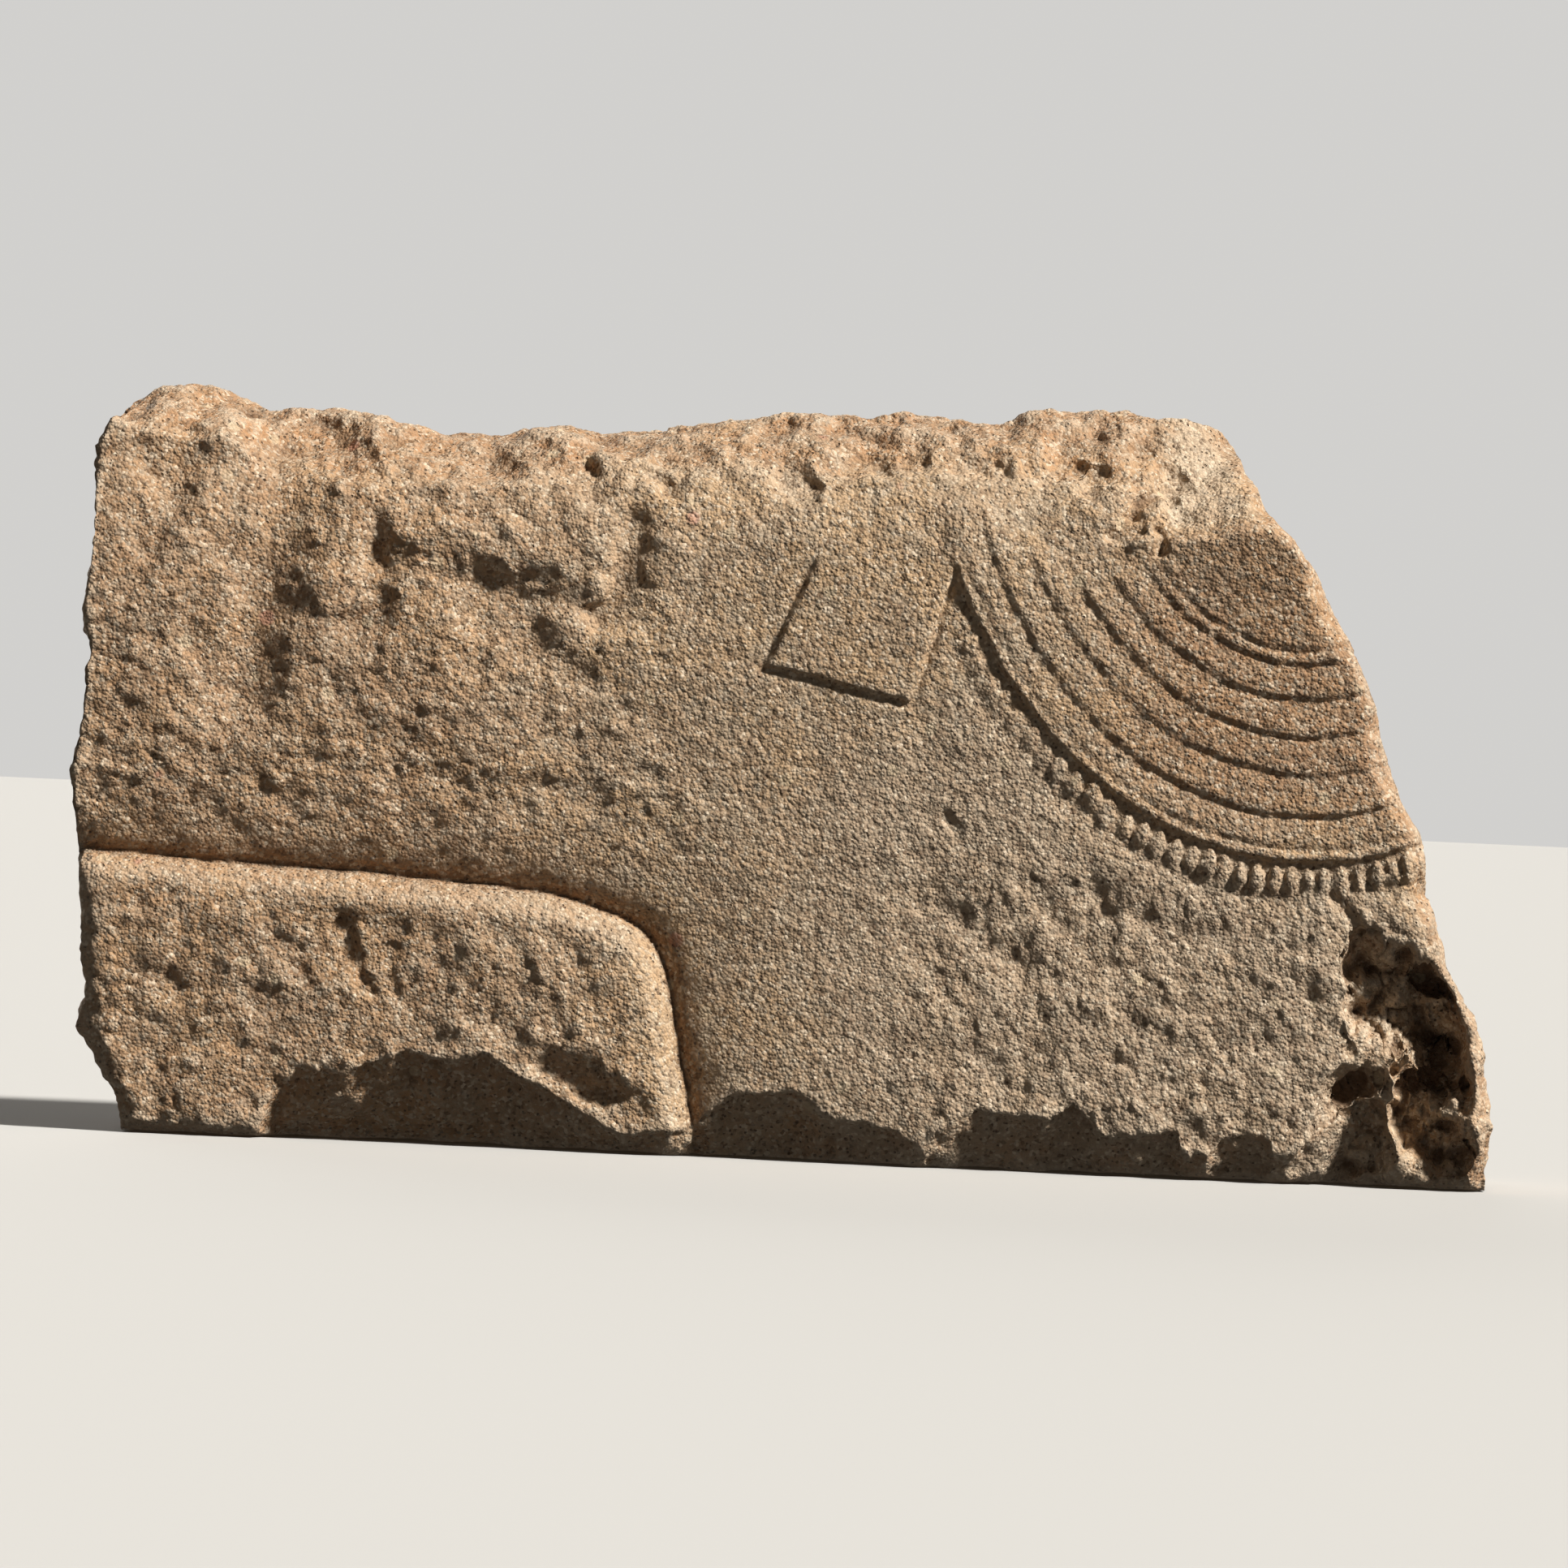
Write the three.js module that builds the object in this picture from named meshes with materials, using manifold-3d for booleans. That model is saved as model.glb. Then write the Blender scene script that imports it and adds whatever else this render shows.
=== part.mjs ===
// Broken block of a carved stone relief: an outstretched arm, a shoulder and a chest in sunk relief,
// with a broad collar, its row of drop beads and the end of a ribbon.
// Millimetres. X runs along the block, Y from the carved front (-Y) to the flat back (+Y), Z up from the
// bed. The origin is at the middle of the bed. Places on the carved face are shares of its width and
// height.
import * as THREE from 'three';
import { mergeVertices } from 'three/addons/utils/BufferGeometryUtils.js';
import Module from 'manifold-3d';

// The block
const panelWidth = 442;
const panelHeight = 237.5;
const panelThickness = 100;
const backInset = 5;
const groundSetback = 0.5;
const surfaceWave = 0.5;
const sideWave = 1.6;

// The sunk figure
const sinkDepth = 7.5;
const edgeRounding = 10;
const cutLineDepth = 3;
const cutLineWidth = 9;
const armFallReach = 22;
const armCrownFall = 3.5;
const armEndsAt = [0.35, 0.6];
const armCrownOver = [0.62, 0.9];
const chestSetback = 2.2;
const chestSwell = 1.7;
const chestSwellOver = [0.35, 0.95];
const shoulderFall = 5.5;
const shoulderFallOver = [0.77, 0.87];
const shoulderEndsAt = [0.66, 0.76];

// The breaks round the face
const topSetback = 36;
const underSlope = 0.62;
const rimSetback = 7;
const rimWidth = 7;
const groundWear = 3;
const narrowsBehind = 0.4;

// The collar, as nested ellipses about one centre above the broken edge
const carvingLean = 2.6;
const collarReach = 165;
const collarNarrowInside = 0.757;
const collarNarrowOutside = 0.787;
const collarRise = 1.4;
const collarLineWidth = 2.6;
const collarLineDepth = 1.3;
const collarCentre = [0.85, 1.063];
const collarFade = 12;

// The drop beads along the collar's outer edge
const beadPitch = 5.3;
const beadPitchWorn = 6.8;
const beadLength = 11;
const beadWidth = 4.4;
const beadRise = 1.7;

// The ribbon end
const ribbonRise = 1.6;
const ribbonWornFrom = 0.7;
const ribbonCorners = {
  lowLeft: [0.48, 0.642],
  lowRight: [0.581, 0.603],
  topLeft: [0.524, 0.83],
  topRight: [0.617, 0.843],
};

// How deep an added form is rooted in the stone, how far its worn end dips below the surface, how far the
// cutting shapes reach beyond the block, and how far they start in front of it.
const rooted = 6;
const buried = 0.5;
const beyond = 15;
const clear = 20;

// How finely each form is divided: across, up and through.
const blockCells = [38, 18, 4];
const sinkCells = [40, 26, 1];
const ribbonCells = [4, 6, 1];
const cellsAlongEdge = 34;
const cellsAcrossCut = 5;
const cellsAlongCollar = 34;

// Each carved line of the collar: its share of the reach, and the angle where its worn upper end fades.
const collarLines = [
  { share: 0.5355, fadesAt: 49 },
  { share: 0.5613, fadesAt: 49 },
  { share: 0.6263, fadesAt: 52 },
  { share: 0.6974, fadesAt: 57 },
  { share: 0.767, fadesAt: 65 },
  { share: 0.8457, fadesAt: 72 },
  { share: 0.9062, fadesAt: 70 },
  { share: 0.9304, fadesAt: 66 },
];

// The outline as seen from the front: how far along and how far across, from the low left corner of its
// box.
const leftEdge = [
  [0.019, 0.043], [0.087, 0.026], [0.137, 0.015], [0.338, 0.007], [0.44, 0], [0.549, 0.005],
  [0.634, 0.008], [0.675, 0.003], [0.8, 0.006], [0.886, 0.007], [0.952, 0.023],
];
const rightEdge = [
  [0.02, 1], [0.085, 1], [0.127, 0.996], [0.211, 0.987], [0.282, 0.965], [0.335, 0.959],
  [0.376, 0.947], [0.46, 0.942], [0.501, 0.927], [0.583, 0.911], [0.666, 0.896], [0.749, 0.872],
  [0.831, 0.844], [0.913, 0.816], [0.979, 0.795],
];
const topEdge = [
  [0.023, 0.952], [0.042, 0.974], [0.061, 0.984], [0.102, 0.968], [0.119, 0.951], [0.164, 0.956],
  [0.201, 0.952], [0.25, 0.931], [0.278, 0.93], [0.334, 0.952], [0.419, 0.955], [0.447, 0.968],
  [0.503, 0.978], [0.588, 0.984], [0.645, 0.979], [0.661, 0.994], [0.729, 1], [0.749, 0.991],
  [0.769, 0.996], [0.795, 0.979],
];
const bottomEdge = [
  [0.043, 0.019], [0.074, 0.011], [0.216, 0.004], [0.5, 0], [0.8, 0.003], [0.889, 0.014], [1, 0.02],
];

// Where the broken top and the broken bottom begin on the face: share along, height share.
const topBreakStart = [
  [0, 0.91], [0.09, 0.91], [0.13, 0.86], [0.3, 0.86], [0.55, 0.885], [0.66, 0.88], [0.74, 0.84],
  [1, 0.82],
];
const underBreakStart = [
  [0, 0], [0.14, 0], [0.17, 0.085], [0.24, 0.115], [0.3, 0.115], [0.35, 0.07], [0.39, 0.03], [0.44, 0.036],
  [0.48, 0.085], [0.52, 0.085], [0.56, 0.05], [0.6, 0.02], [0.65, 0.075], [0.71, 0.085], [0.76, 0.055],
  [0.8, 0.024], [0.83, 0.06], [0.86, 0.034], [0.9, 0.12], [0.93, 0.06], [1, 0.05],
];

// The sunk edge: under the arm, round the armpit and down the side of the body.
const sunkEdge = [
  [-0.06, 0.367], [0.003, 0.363], [0.122, 0.353], [0.236, 0.345], [0.315, 0.336], [0.361, 0.321],
  [0.401, 0.288], [0.418, 0.236], [0.43, 0.142], [0.442, 0.038], [0.449, -0.08],
];

// Worn and broken hollows: the centre in shares of the face, the half length, half width and depth in
// shares of its height, and the lean from upright in degrees.
const hollows = [
  { at: [0.146, 0.69], long: 0.152, wide: 0.034, deep: 0.014, lean: 8 },
  { at: [0.21, 0.78], long: 0.05, wide: 0.025, deep: 0.015, lean: -8 },
  { at: [0.25, 0.735], long: 0.03, wide: 0.07, deep: 0.012, lean: 0 },
  { at: [0.325, 0.715], long: 0.038, wide: 0.075, deep: 0.012, lean: 0 },
  { at: [0.38, 0.744], long: 0.063, wide: 0.019, deep: 0.013, lean: 8 },
  { at: [0.055, 0.85], long: 0.072, wide: 0.042, deep: 0.008, lean: 8 },
  { at: [0.347, 0.886], long: 0.023, wide: 0.021, deep: 0.025, lean: 0 },
  { at: [0.406, 0.899], long: 0.019, wide: 0.025, deep: 0.025, lean: 0 },
  { at: [0.494, 0.883], long: 0.023, wide: 0.042, deep: 0.034, lean: 0 },
  { at: [0.6, 0.92], long: 0.021, wide: 0.046, deep: 0.025, lean: 0 },
  { at: [0.729, 0.847], long: 0.021, wide: 0.029, deep: 0.025, lean: 50 },
  { at: [0.362, 0.09], long: 0.04, wide: 0.11, deep: 0.018, lean: 28 },
  { at: [0.936, 0.222], long: 0.08, wide: 0.055, deep: 0.072, lean: 14 },
  { at: [0.915, 0.118], long: 0.042, wide: 0.063, deep: 0.046, lean: 0 },
  { at: [0.972, 0.085], long: 0.067, wide: 0.046, deep: 0.051, lean: -20 },
];

// From this depth on, a hollow's bowl is rounded more finely.
const roundHollowFrom = 0.04;

const faceX = (share) => (share - 0.5) * panelWidth;
const faceZ = (share) => share * panelHeight;
const frontY = -panelThickness / 2;

const { clamp, lerp, smoothstep, degToRad } = THREE.MathUtils;

// The value at a share along a list of [along, across] stations, in straight runs.
function across(stations, along) {
  const last = stations.length - 1;
  let i = 1;
  while (i < last && along > stations[i][0]) i++;
  const [from, start] = stations[i - 1];
  const [to, end] = stations[i];
  return lerp(start, end, clamp((along - from) / (to - from), 0, 1));
}

// A closed grid over a unit box, with each vertex moved to place(u, v, w): u goes to the right, v up and w
// from the front to the back.
function formedBox([columns, rows, layers], place) {
  const box = new THREE.BoxGeometry(1, 1, 1, columns, layers, rows);
  box.deleteAttribute('normal');
  box.deleteAttribute('uv');
  const geometry = mergeVertices(box);
  const points = geometry.getAttribute('position');
  for (let i = 0; i < points.count; i++) {
    points.setXYZ(i, ...place(points.getX(i) + 0.5, points.getZ(i) + 0.5, points.getY(i) + 0.5));
  }
  return geometry;
}

// A point of the face: the four outline edges blended over its inside.
function facePoint(u, v) {
  const alongBottom = lerp(bottomEdge[0][0], bottomEdge.at(-1)[0], u);
  const alongTop = lerp(topEdge[0][0], topEdge.at(-1)[0], u);
  const upLeft = lerp(leftEdge[0][0], leftEdge.at(-1)[0], v);
  const upRight = lerp(rightEdge[0][0], rightEdge.at(-1)[0], v);
  const bottom = [alongBottom, across(bottomEdge, alongBottom)];
  const top = [alongTop, across(topEdge, alongTop)];
  const left = [across(leftEdge, upLeft), upLeft];
  const right = [across(rightEdge, upRight), upRight];
  const ends = [leftEdge[0], rightEdge[0], leftEdge.at(-1), rightEdge.at(-1)];
  const corners = ends.map(([up, along]) => [along, up]);
  const blend = (i) => lerp(bottom[i], top[i], v) + lerp(left[i], right[i], u)
    - lerp(lerp(corners[0][i], corners[1][i], u), lerp(corners[2][i], corners[3][i], u), v);
  return [faceX(blend(0)), faceZ(blend(1))];
}

const edgeCurve = new THREE.SplineCurve(sunkEdge.map(([s, t]) => new THREE.Vector2(faceX(s), faceZ(t))));
const edgePoints = edgeCurve.getSpacedPoints(60);

// Distance from the sunk edge, positive on the figure's side.
function fromSunkEdge(x, z) {
  let nearest = Infinity;
  let side = 1;
  for (let i = 1; i < edgePoints.length; i++) {
    const a = edgePoints[i - 1];
    const run = edgePoints[i].clone().sub(a);
    const along = clamp(((x - a.x) * run.x + (z - a.y) * run.y) / run.lengthSq(), 0, 1);
    const dx = x - a.x - along * run.x;
    const dz = z - a.y - along * run.y;
    const distance = Math.hypot(dx, dz);
    if (distance < nearest) {
      nearest = distance;
      side = Math.sign(run.x * dz - run.y * dx) || 1;
    }
  }
  return side * nearest;
}

// The broken lower edge: below its start the surface slopes back as it goes down.
function underBreak(x, z) {
  const start = faceZ(across(underBreakStart, x / panelWidth + 0.5));
  return underSlope * Math.max(0, start - Math.max(z, 0));
}

// How far the figure's surface lies behind the front plane.
function figureDepth(x, z) {
  const s = clamp(x / panelWidth + 0.5, 0, 1);
  const t = z / panelHeight;
  const level = chestSetback - chestSwell * smoothstep(s, ...chestSwellOver);
  const fall = (sinkDepth - cutLineDepth) * Math.exp(-Math.max(fromSunkEdge(x, z), 0) / armFallReach);
  const crown = armCrownFall * smoothstep(t, ...armCrownOver) * (1 - smoothstep(s, ...armEndsAt));
  const [fallStart, fallEnd] = shoulderFallOver;
  const upTheShoulder = clamp((t - fallStart) / (fallEnd - fallStart), 0, 1.1);
  const shoulder = shoulderFall * upTheShoulder ** 2 * (1 - smoothstep(s, ...shoulderEndsAt));
  const breakStart = across(topBreakStart, s);
  const upTheBreak = Math.max(0, (t - breakStart) / (across(topEdge, s) - breakStart));
  const top = topSetback * (0.4 * upTheBreak + 0.6 * upTheBreak ** 2);
  const rimGap = faceX(across(rightEdge, t)) - x;
  const rim = rimSetback * clamp(1 - rimGap / rimWidth, 0, 1.5) ** 2;
  const broken = Math.min(top, topSetback * 1.6) + underBreak(x, z) + rim;
  return level + fall + crown + shoulder + broken;
}

// How far the flat ground's surface lies behind the front plane: worn at its left rim, broken below.
function groundDepth(x, z) {
  const t = z / panelHeight;
  const leftGap = x - faceX(across(leftEdge, t));
  const wornLeft = groundWear * clamp(1 - leftGap / rimWidth, 0, 1) ** 2;
  const wave = surfaceWave * Math.sin(34 * x / panelWidth) * Math.cos(22 * t);
  return groundSetback + wave + wornLeft + underBreak(x, z);
}

// The uncut block: the face's outline, narrowed behind the breaks towards a flat back, on a level bed.
function blockPlace(u, v, w) {
  const [x, z] = facePoint(u, v);
  const behindBreaks = smoothstep(w, narrowsBehind, 1);
  const swing = Math.sin(26 * x / panelWidth + 10 * z / panelHeight + 5 * w);
  const inset = (backInset + sideWave * swing * Math.sin(Math.PI * w)) * behindBreaks;
  const level = z - inset * v;
  return [
    x - inset * clamp(4 * u - 2, -1, 1),
    lerp(frontY + groundDepth(x, z), -frontY, w),
    v === 0 && w > 0 ? 0 : level,
  ];
}

// The space in front of the figure, whose inner side is the figure's surface.
function sinkPlace(u, v, w) {
  const x = lerp(-panelWidth / 2 - beyond, panelWidth / 2 + beyond, u);
  const graded = v - 0.09 * Math.sin(2 * Math.PI * v);
  const z = lerp(-beyond, panelHeight + beyond, graded);
  return [x, w === 0 ? frontY - clear : frontY + figureDepth(x, z), z];
}

// A point at a distance from the sunk edge, and the direction away from it on the figure's side.
function besideEdge(u, distance) {
  const point = edgeCurve.getPointAt(u);
  const tangent = edgeCurve.getTangentAt(u);
  return [point.x - tangent.y * distance, point.y + tangent.x * distance];
}

// The flat ground that the sinking leaves standing, with its rounded edge.
const groundRows = [
  { off: -1, deep: -2 }, { off: -1, deep: -0.6 }, { off: -0.75, deep: 0.047 }, { off: -0.5, deep: 0.217 },
  { off: -0.25, deep: 0.53 }, { off: -0.1, deep: 0.79 }, { off: 0, deep: 1.05 }, { off: 0.12, deep: 1.9 },
];
function groundPlace(u, v, w) {
  const row = Math.round(v * (groundRows.length - 1));
  const { off, deep } = groundRows[row];
  const edge = besideEdge(u, off * edgeRounding);
  const corner = [-panelWidth / 2 - beyond, -beyond];
  const pull = row === 0 ? 0.2 : 1;
  const level = deep < 0 ? deep : groundSetback + deep * sinkDepth;
  return [
    lerp(corner[0], edge[0], pull),
    w === 0 ? frontY + level : frontY + 4 * sinkDepth,
    lerp(corner[1], edge[1], pull),
  ];
}

// The cut line on the figure's side of the sunk edge.
function cutLinePlace(u, v, w) {
  const distance = lerp(-0.3, 1, v) * cutLineWidth;
  const [x, z] = besideEdge(u, distance);
  const steep = Math.exp(-Math.max(distance, 0) / (0.38 * cutLineWidth));
  const cut = cutLineDepth * steep - buried * smoothstep(v, 0.5, 1);
  return [x, w === 0 ? frontY - clear : frontY + figureDepth(x, z) + cut, z];
}

const lean = degToRad(carvingLean);

// A point of the collar: its share of the reach, and its angle from straight down, positive to the left.
function collarPoint(share, angle) {
  const height = collarReach * share;
  const inOut = (share - collarLines[0].share) / (1 - collarLines[0].share);
  const width = height * lerp(collarNarrowInside, collarNarrowOutside, inOut);
  const right = -width * Math.sin(angle);
  const up = -height * Math.cos(angle);
  return [
    faceX(collarCentre[0]) + right * Math.cos(lean) - up * Math.sin(lean),
    faceZ(collarCentre[1]) + right * Math.sin(lean) + up * Math.cos(lean),
  ];
}

// The angle at which an ellipse of the collar meets the broken right edge.
function collarEnd(share) {
  let angle = 0;
  const inside = () => {
    const [x, z] = collarPoint(share, angle);
    return x < faceX(across(rightEdge, z / panelHeight)) - 0.3 * rimWidth;
  };
  while (inside() && angle > -1.2) angle -= 0.01;
  return angle;
}

// The collar as one sheet with a groove at each line, its worn upper end sinking into the shoulder.
const fades = collarLines.map((line) => [line.share, line.fadesAt]);
const innermost = collarLines[0].share;
const outermost = collarLines.at(-1).share;
const lineHalf = collarLineWidth / 2 / collarReach;
const collarRows = collarLines.flatMap(({ share }) => [
  { share: share - lineHalf, rise: collarRise },
  { share, rise: collarRise - collarLineDepth },
  { share: share + lineHalf, rise: collarRise },
]).slice(1, -1).reverse();
function collarPlace(u, v, w) {
  const row = collarRows[Math.round(v * (collarRows.length - 1))];
  const share = clamp(row.share, innermost, outermost);
  const start = degToRad(across(fades, share));
  const angle = lerp(start, collarEnd(share), u);
  const [x, z] = collarPoint(share, angle);
  const worn = 1 - smoothstep(angle, start - degToRad(collarFade), start);
  const rise = row.rise * worn - buried * (1 - worn);
  return [x, frontY + figureDepth(x, z) - (w === 0 ? rise : -rooted), z];
}

// One drop bead: a small rounded lump, long across the collar's edge.
function beadGeometry(angle, worn) {
  const share = (outermost + 1) / 2;
  const [x, z] = collarPoint(share, angle);
  const [xOut, zOut] = collarPoint(1, angle);
  const bead = new THREE.SphereGeometry(1, 6, 3);
  bead.scale(beadWidth / 2 * (worn ? 1.25 : 1), beadRise * 1.6, beadLength / 2);
  bead.rotateY(Math.atan2(xOut - x, zOut - z));
  bead.translate(x, frontY + figureDepth(x, z) + beadRise * 0.6, z);
  return bead;
}

// The drop beads, one pitch apart along the ellipse through their middles.
function dropBeads() {
  const share = (outermost + 1) / 2;
  const beads = [];
  let angle = collarEnd(share) + 0.03;
  while (angle < degToRad(58)) {
    const worn = angle > degToRad(26);
    beads.push(beadGeometry(angle, worn));
    const here = collarPoint(share, angle);
    const next = collarPoint(share, angle + 0.01);
    angle += (worn ? beadPitchWorn : beadPitch) * 0.01 / Math.hypot(next[0] - here[0], next[1] - here[1]);
  }
  return beads;
}

// The ribbon end: a thin plate over the shoulder, its upper end worn down to the break.
function ribbonPlace(u, v, w) {
  const { lowLeft, lowRight, topLeft, topRight } = ribbonCorners;
  const side = (i) => lerp(lerp(lowLeft[i], lowRight[i], u), lerp(topLeft[i], topRight[i], u), v);
  const x = faceX(side(0));
  const z = faceZ(side(1));
  const rise = lerp(ribbonRise, -buried, smoothstep(v, ribbonWornFrom, 1));
  return [x, frontY + figureDepth(x, z) - (w === 0 ? rise : -rooted), z];
}

// A hollow as a low ellipsoid sunk into the face.
function hollowGeometry({ at, long, wide, deep, lean: tilt }) {
  const x = faceX(at[0]);
  const z = faceZ(at[1]);
  const surface = frontY + (fromSunkEdge(x, z) < 0 ? groundDepth(x, z) : figureDepth(x, z));
  const sunk = faceZ(deep);
  const bowl = new THREE.IcosahedronGeometry(1, deep > roundHollowFrom ? 2 : 1);
  bowl.scale(faceZ(wide) * 1.1, sunk * 1.25, faceZ(long) * 1.1);
  bowl.rotateY(degToRad(tilt));
  bowl.translate(x, surface - sunk * 0.25, z);
  return bowl;
}

const wasm = await Module();
wasm.setup();

// A geometry as a solid that can be joined and cut.
function solid(geometry) {
  geometry.deleteAttribute('normal');
  geometry.deleteAttribute('uv');
  const merged = mergeVertices(geometry, 1e-3);
  return new wasm.Manifold(new wasm.Mesh({
    numProp: 3,
    vertProperties: new Float32Array(merged.getAttribute('position').array),
    triVerts: new Uint32Array(merged.index.array),
  }));
}

// A solid back as a three.js geometry.
function geometryOf(made) {
  const { vertProperties, triVerts } = made.getMesh();
  const geometry = new THREE.BufferGeometry();
  geometry.setAttribute('position', new THREE.BufferAttribute(vertProperties, 3));
  geometry.setIndex(new THREE.BufferAttribute(triVerts, 1));
  const flat = geometry.toNonIndexed();
  flat.computeVertexNormals();
  return flat;
}

function carvedBlock() {
  const standing = solid(formedBox([cellsAlongEdge, groundRows.length - 1, 1], groundPlace));
  const sink = solid(formedBox(sinkCells, sinkPlace));
  const cutLine = solid(formedBox([cellsAlongEdge, cellsAcrossCut, 1], cutLinePlace));
  let block = solid(formedBox(blockCells, blockPlace)).subtract(sink.add(cutLine).subtract(standing));
  block = block.add(solid(formedBox(ribbonCells, ribbonPlace)));
  block = block.add(solid(formedBox([cellsAlongCollar, collarRows.length - 1, 1], collarPlace)));
  for (const bead of dropBeads()) block = block.add(solid(bead));
  for (const hollow of hollows) block = block.subtract(solid(hollowGeometry(hollow)));
  return block;
}

const stone = new THREE.MeshStandardMaterial({ color: 0xb39a78, roughness: 0.9, metalness: 0 });
const panel = new THREE.Mesh(geometryOf(carvedBlock()), stone);
panel.name = 'relief_panel';

const relief = new THREE.Group();
relief.add(panel);

export default relief;
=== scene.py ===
"""The broken relief block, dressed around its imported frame.

Sizes inside the classes are millimetres, and become metres when the mesh is made. Places on the carved
face are shares of its width and height, counted from its low left corner.
X runs along the block, -Y comes out of the carved face and +Z goes up from the bed.
"""

import logging
import math
from dataclasses import dataclass, field
from enum import Enum

import bpy
import numpy as np
from mathutils import Matrix, Vector

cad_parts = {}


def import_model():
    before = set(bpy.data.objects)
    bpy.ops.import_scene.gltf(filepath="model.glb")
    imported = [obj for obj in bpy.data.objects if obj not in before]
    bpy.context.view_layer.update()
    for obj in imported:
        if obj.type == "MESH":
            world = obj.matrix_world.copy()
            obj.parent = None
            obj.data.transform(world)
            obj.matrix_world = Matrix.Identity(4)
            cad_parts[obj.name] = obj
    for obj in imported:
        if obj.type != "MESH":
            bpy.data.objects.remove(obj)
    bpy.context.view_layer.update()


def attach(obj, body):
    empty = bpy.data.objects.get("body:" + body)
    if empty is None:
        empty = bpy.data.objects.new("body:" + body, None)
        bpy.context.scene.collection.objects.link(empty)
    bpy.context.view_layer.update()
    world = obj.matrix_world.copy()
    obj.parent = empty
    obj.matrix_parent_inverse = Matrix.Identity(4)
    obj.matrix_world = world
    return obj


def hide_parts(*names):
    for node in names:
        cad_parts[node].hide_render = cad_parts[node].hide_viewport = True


log = logging.getLogger("relief")

METRE = 0.001
NODE = "relief_panel"


def smooth_step(value: np.ndarray, low: float, high: float) -> np.ndarray:
    """Rises from 0 to 1 between low and high, level at both ends: 3t^2 - 2t^3."""
    t = np.clip((value - low) / (high - low), 0.0, 1.0)
    return t * t * (3.0 - 2.0 * t)


def blend(first: np.ndarray | float, second: np.ndarray | float, share: np.ndarray | float) -> np.ndarray:
    """Goes from the first value to the second as share goes from 0 to 1."""
    return first + (second - first) * share


def from_run(
    x: np.ndarray, z: np.ndarray, start: np.ndarray, end: np.ndarray
) -> tuple[np.ndarray, np.ndarray]:
    """The steps across and up from the nearest place on a straight run to each place."""
    run = end - start
    along = np.clip(((x - start[0]) * run[0] + (z - start[1]) * run[1]) / (run @ run), 0.0, 1.0)
    return x - start[0] - along * run[0], z - start[1] - along * run[1]


class StoneNoise:
    """Seeded lumps, grains and cracks that are fixed in space, so that neighbouring surfaces meet."""

    def __init__(self, seed: int, cells: int = 40) -> None:
        """Fills the repeating lattice.

        Args:
            seed: Starts the random numbers.
            cells: Lattice cells along each side before it repeats.
        """
        draw = np.random.default_rng(seed)
        self.cells = cells
        slopes = draw.normal(size=(cells, cells, cells, 3))
        self.slopes = slopes / np.linalg.norm(slopes, axis=-1, keepdims=True)
        self.centres = draw.random((cells, cells, cells, 3))

    def lumps(self, points: np.ndarray, size: float) -> np.ndarray:
        """Gradient noise: at each lattice corner a random slope, blended between the corners.

        Args:
            points: Places in millimetres, one per row.
            size: Distance between lattice corners in millimetres.

        Returns:
            Heights of about -1 to 1.
        """
        scaled = points / size
        cell = np.floor(scaled).astype(int)
        part = scaled - cell
        ease = part * part * part * (part * (part * 6.0 - 15.0) + 10.0)
        total = np.zeros(len(points))
        for corner in np.ndindex(2, 2, 2):
            at = (cell + corner) % self.cells
            slope = self.slopes[at[:, 0], at[:, 1], at[:, 2]]
            weight = np.prod(np.where(np.array(corner) == 1, ease, 1.0 - ease), axis=1)
            total += weight * np.sum(slope * (part - corner), axis=1)
        return total * 1.7

    def layered(self, points: np.ndarray, size: float, layers: int, keep: float = 0.5) -> np.ndarray:
        """Layers of lumps, each half as wide as the one before and keep times as high."""
        total = np.zeros(len(points))
        height = 1.0
        for layer in range(layers):
            total += height * self.lumps(points + 31.7 * layer, size / 2**layer)
            height *= keep
        return total

    def grains(self, points: np.ndarray, size: float) -> tuple[np.ndarray, np.ndarray]:
        """Cells round scattered centres.

        Args:
            points: Places in millimetres, one per row.
            size: Mean distance between centres.

        Returns:
            The distance to the nearest centre as a share of size, and a random number for that centre.
        """
        scaled = points / size
        cell = np.floor(scaled).astype(int)
        nearest = np.full(len(points), 9.0)
        chance = np.zeros(len(points))
        for step in np.ndindex(3, 3, 3):
            at = cell + np.array(step) - 1
            wrapped = at % self.cells
            centre = self.centres[wrapped[:, 0], wrapped[:, 1], wrapped[:, 2]]
            distance = np.linalg.norm(at + centre - scaled, axis=1)
            closer = distance < nearest
            nearest = np.where(closer, distance, nearest)
            chance = np.where(closer, np.modf(centre[:, 0] * 97.0 + centre[:, 1] * 31.0)[0], chance)
        return nearest, chance


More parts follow.
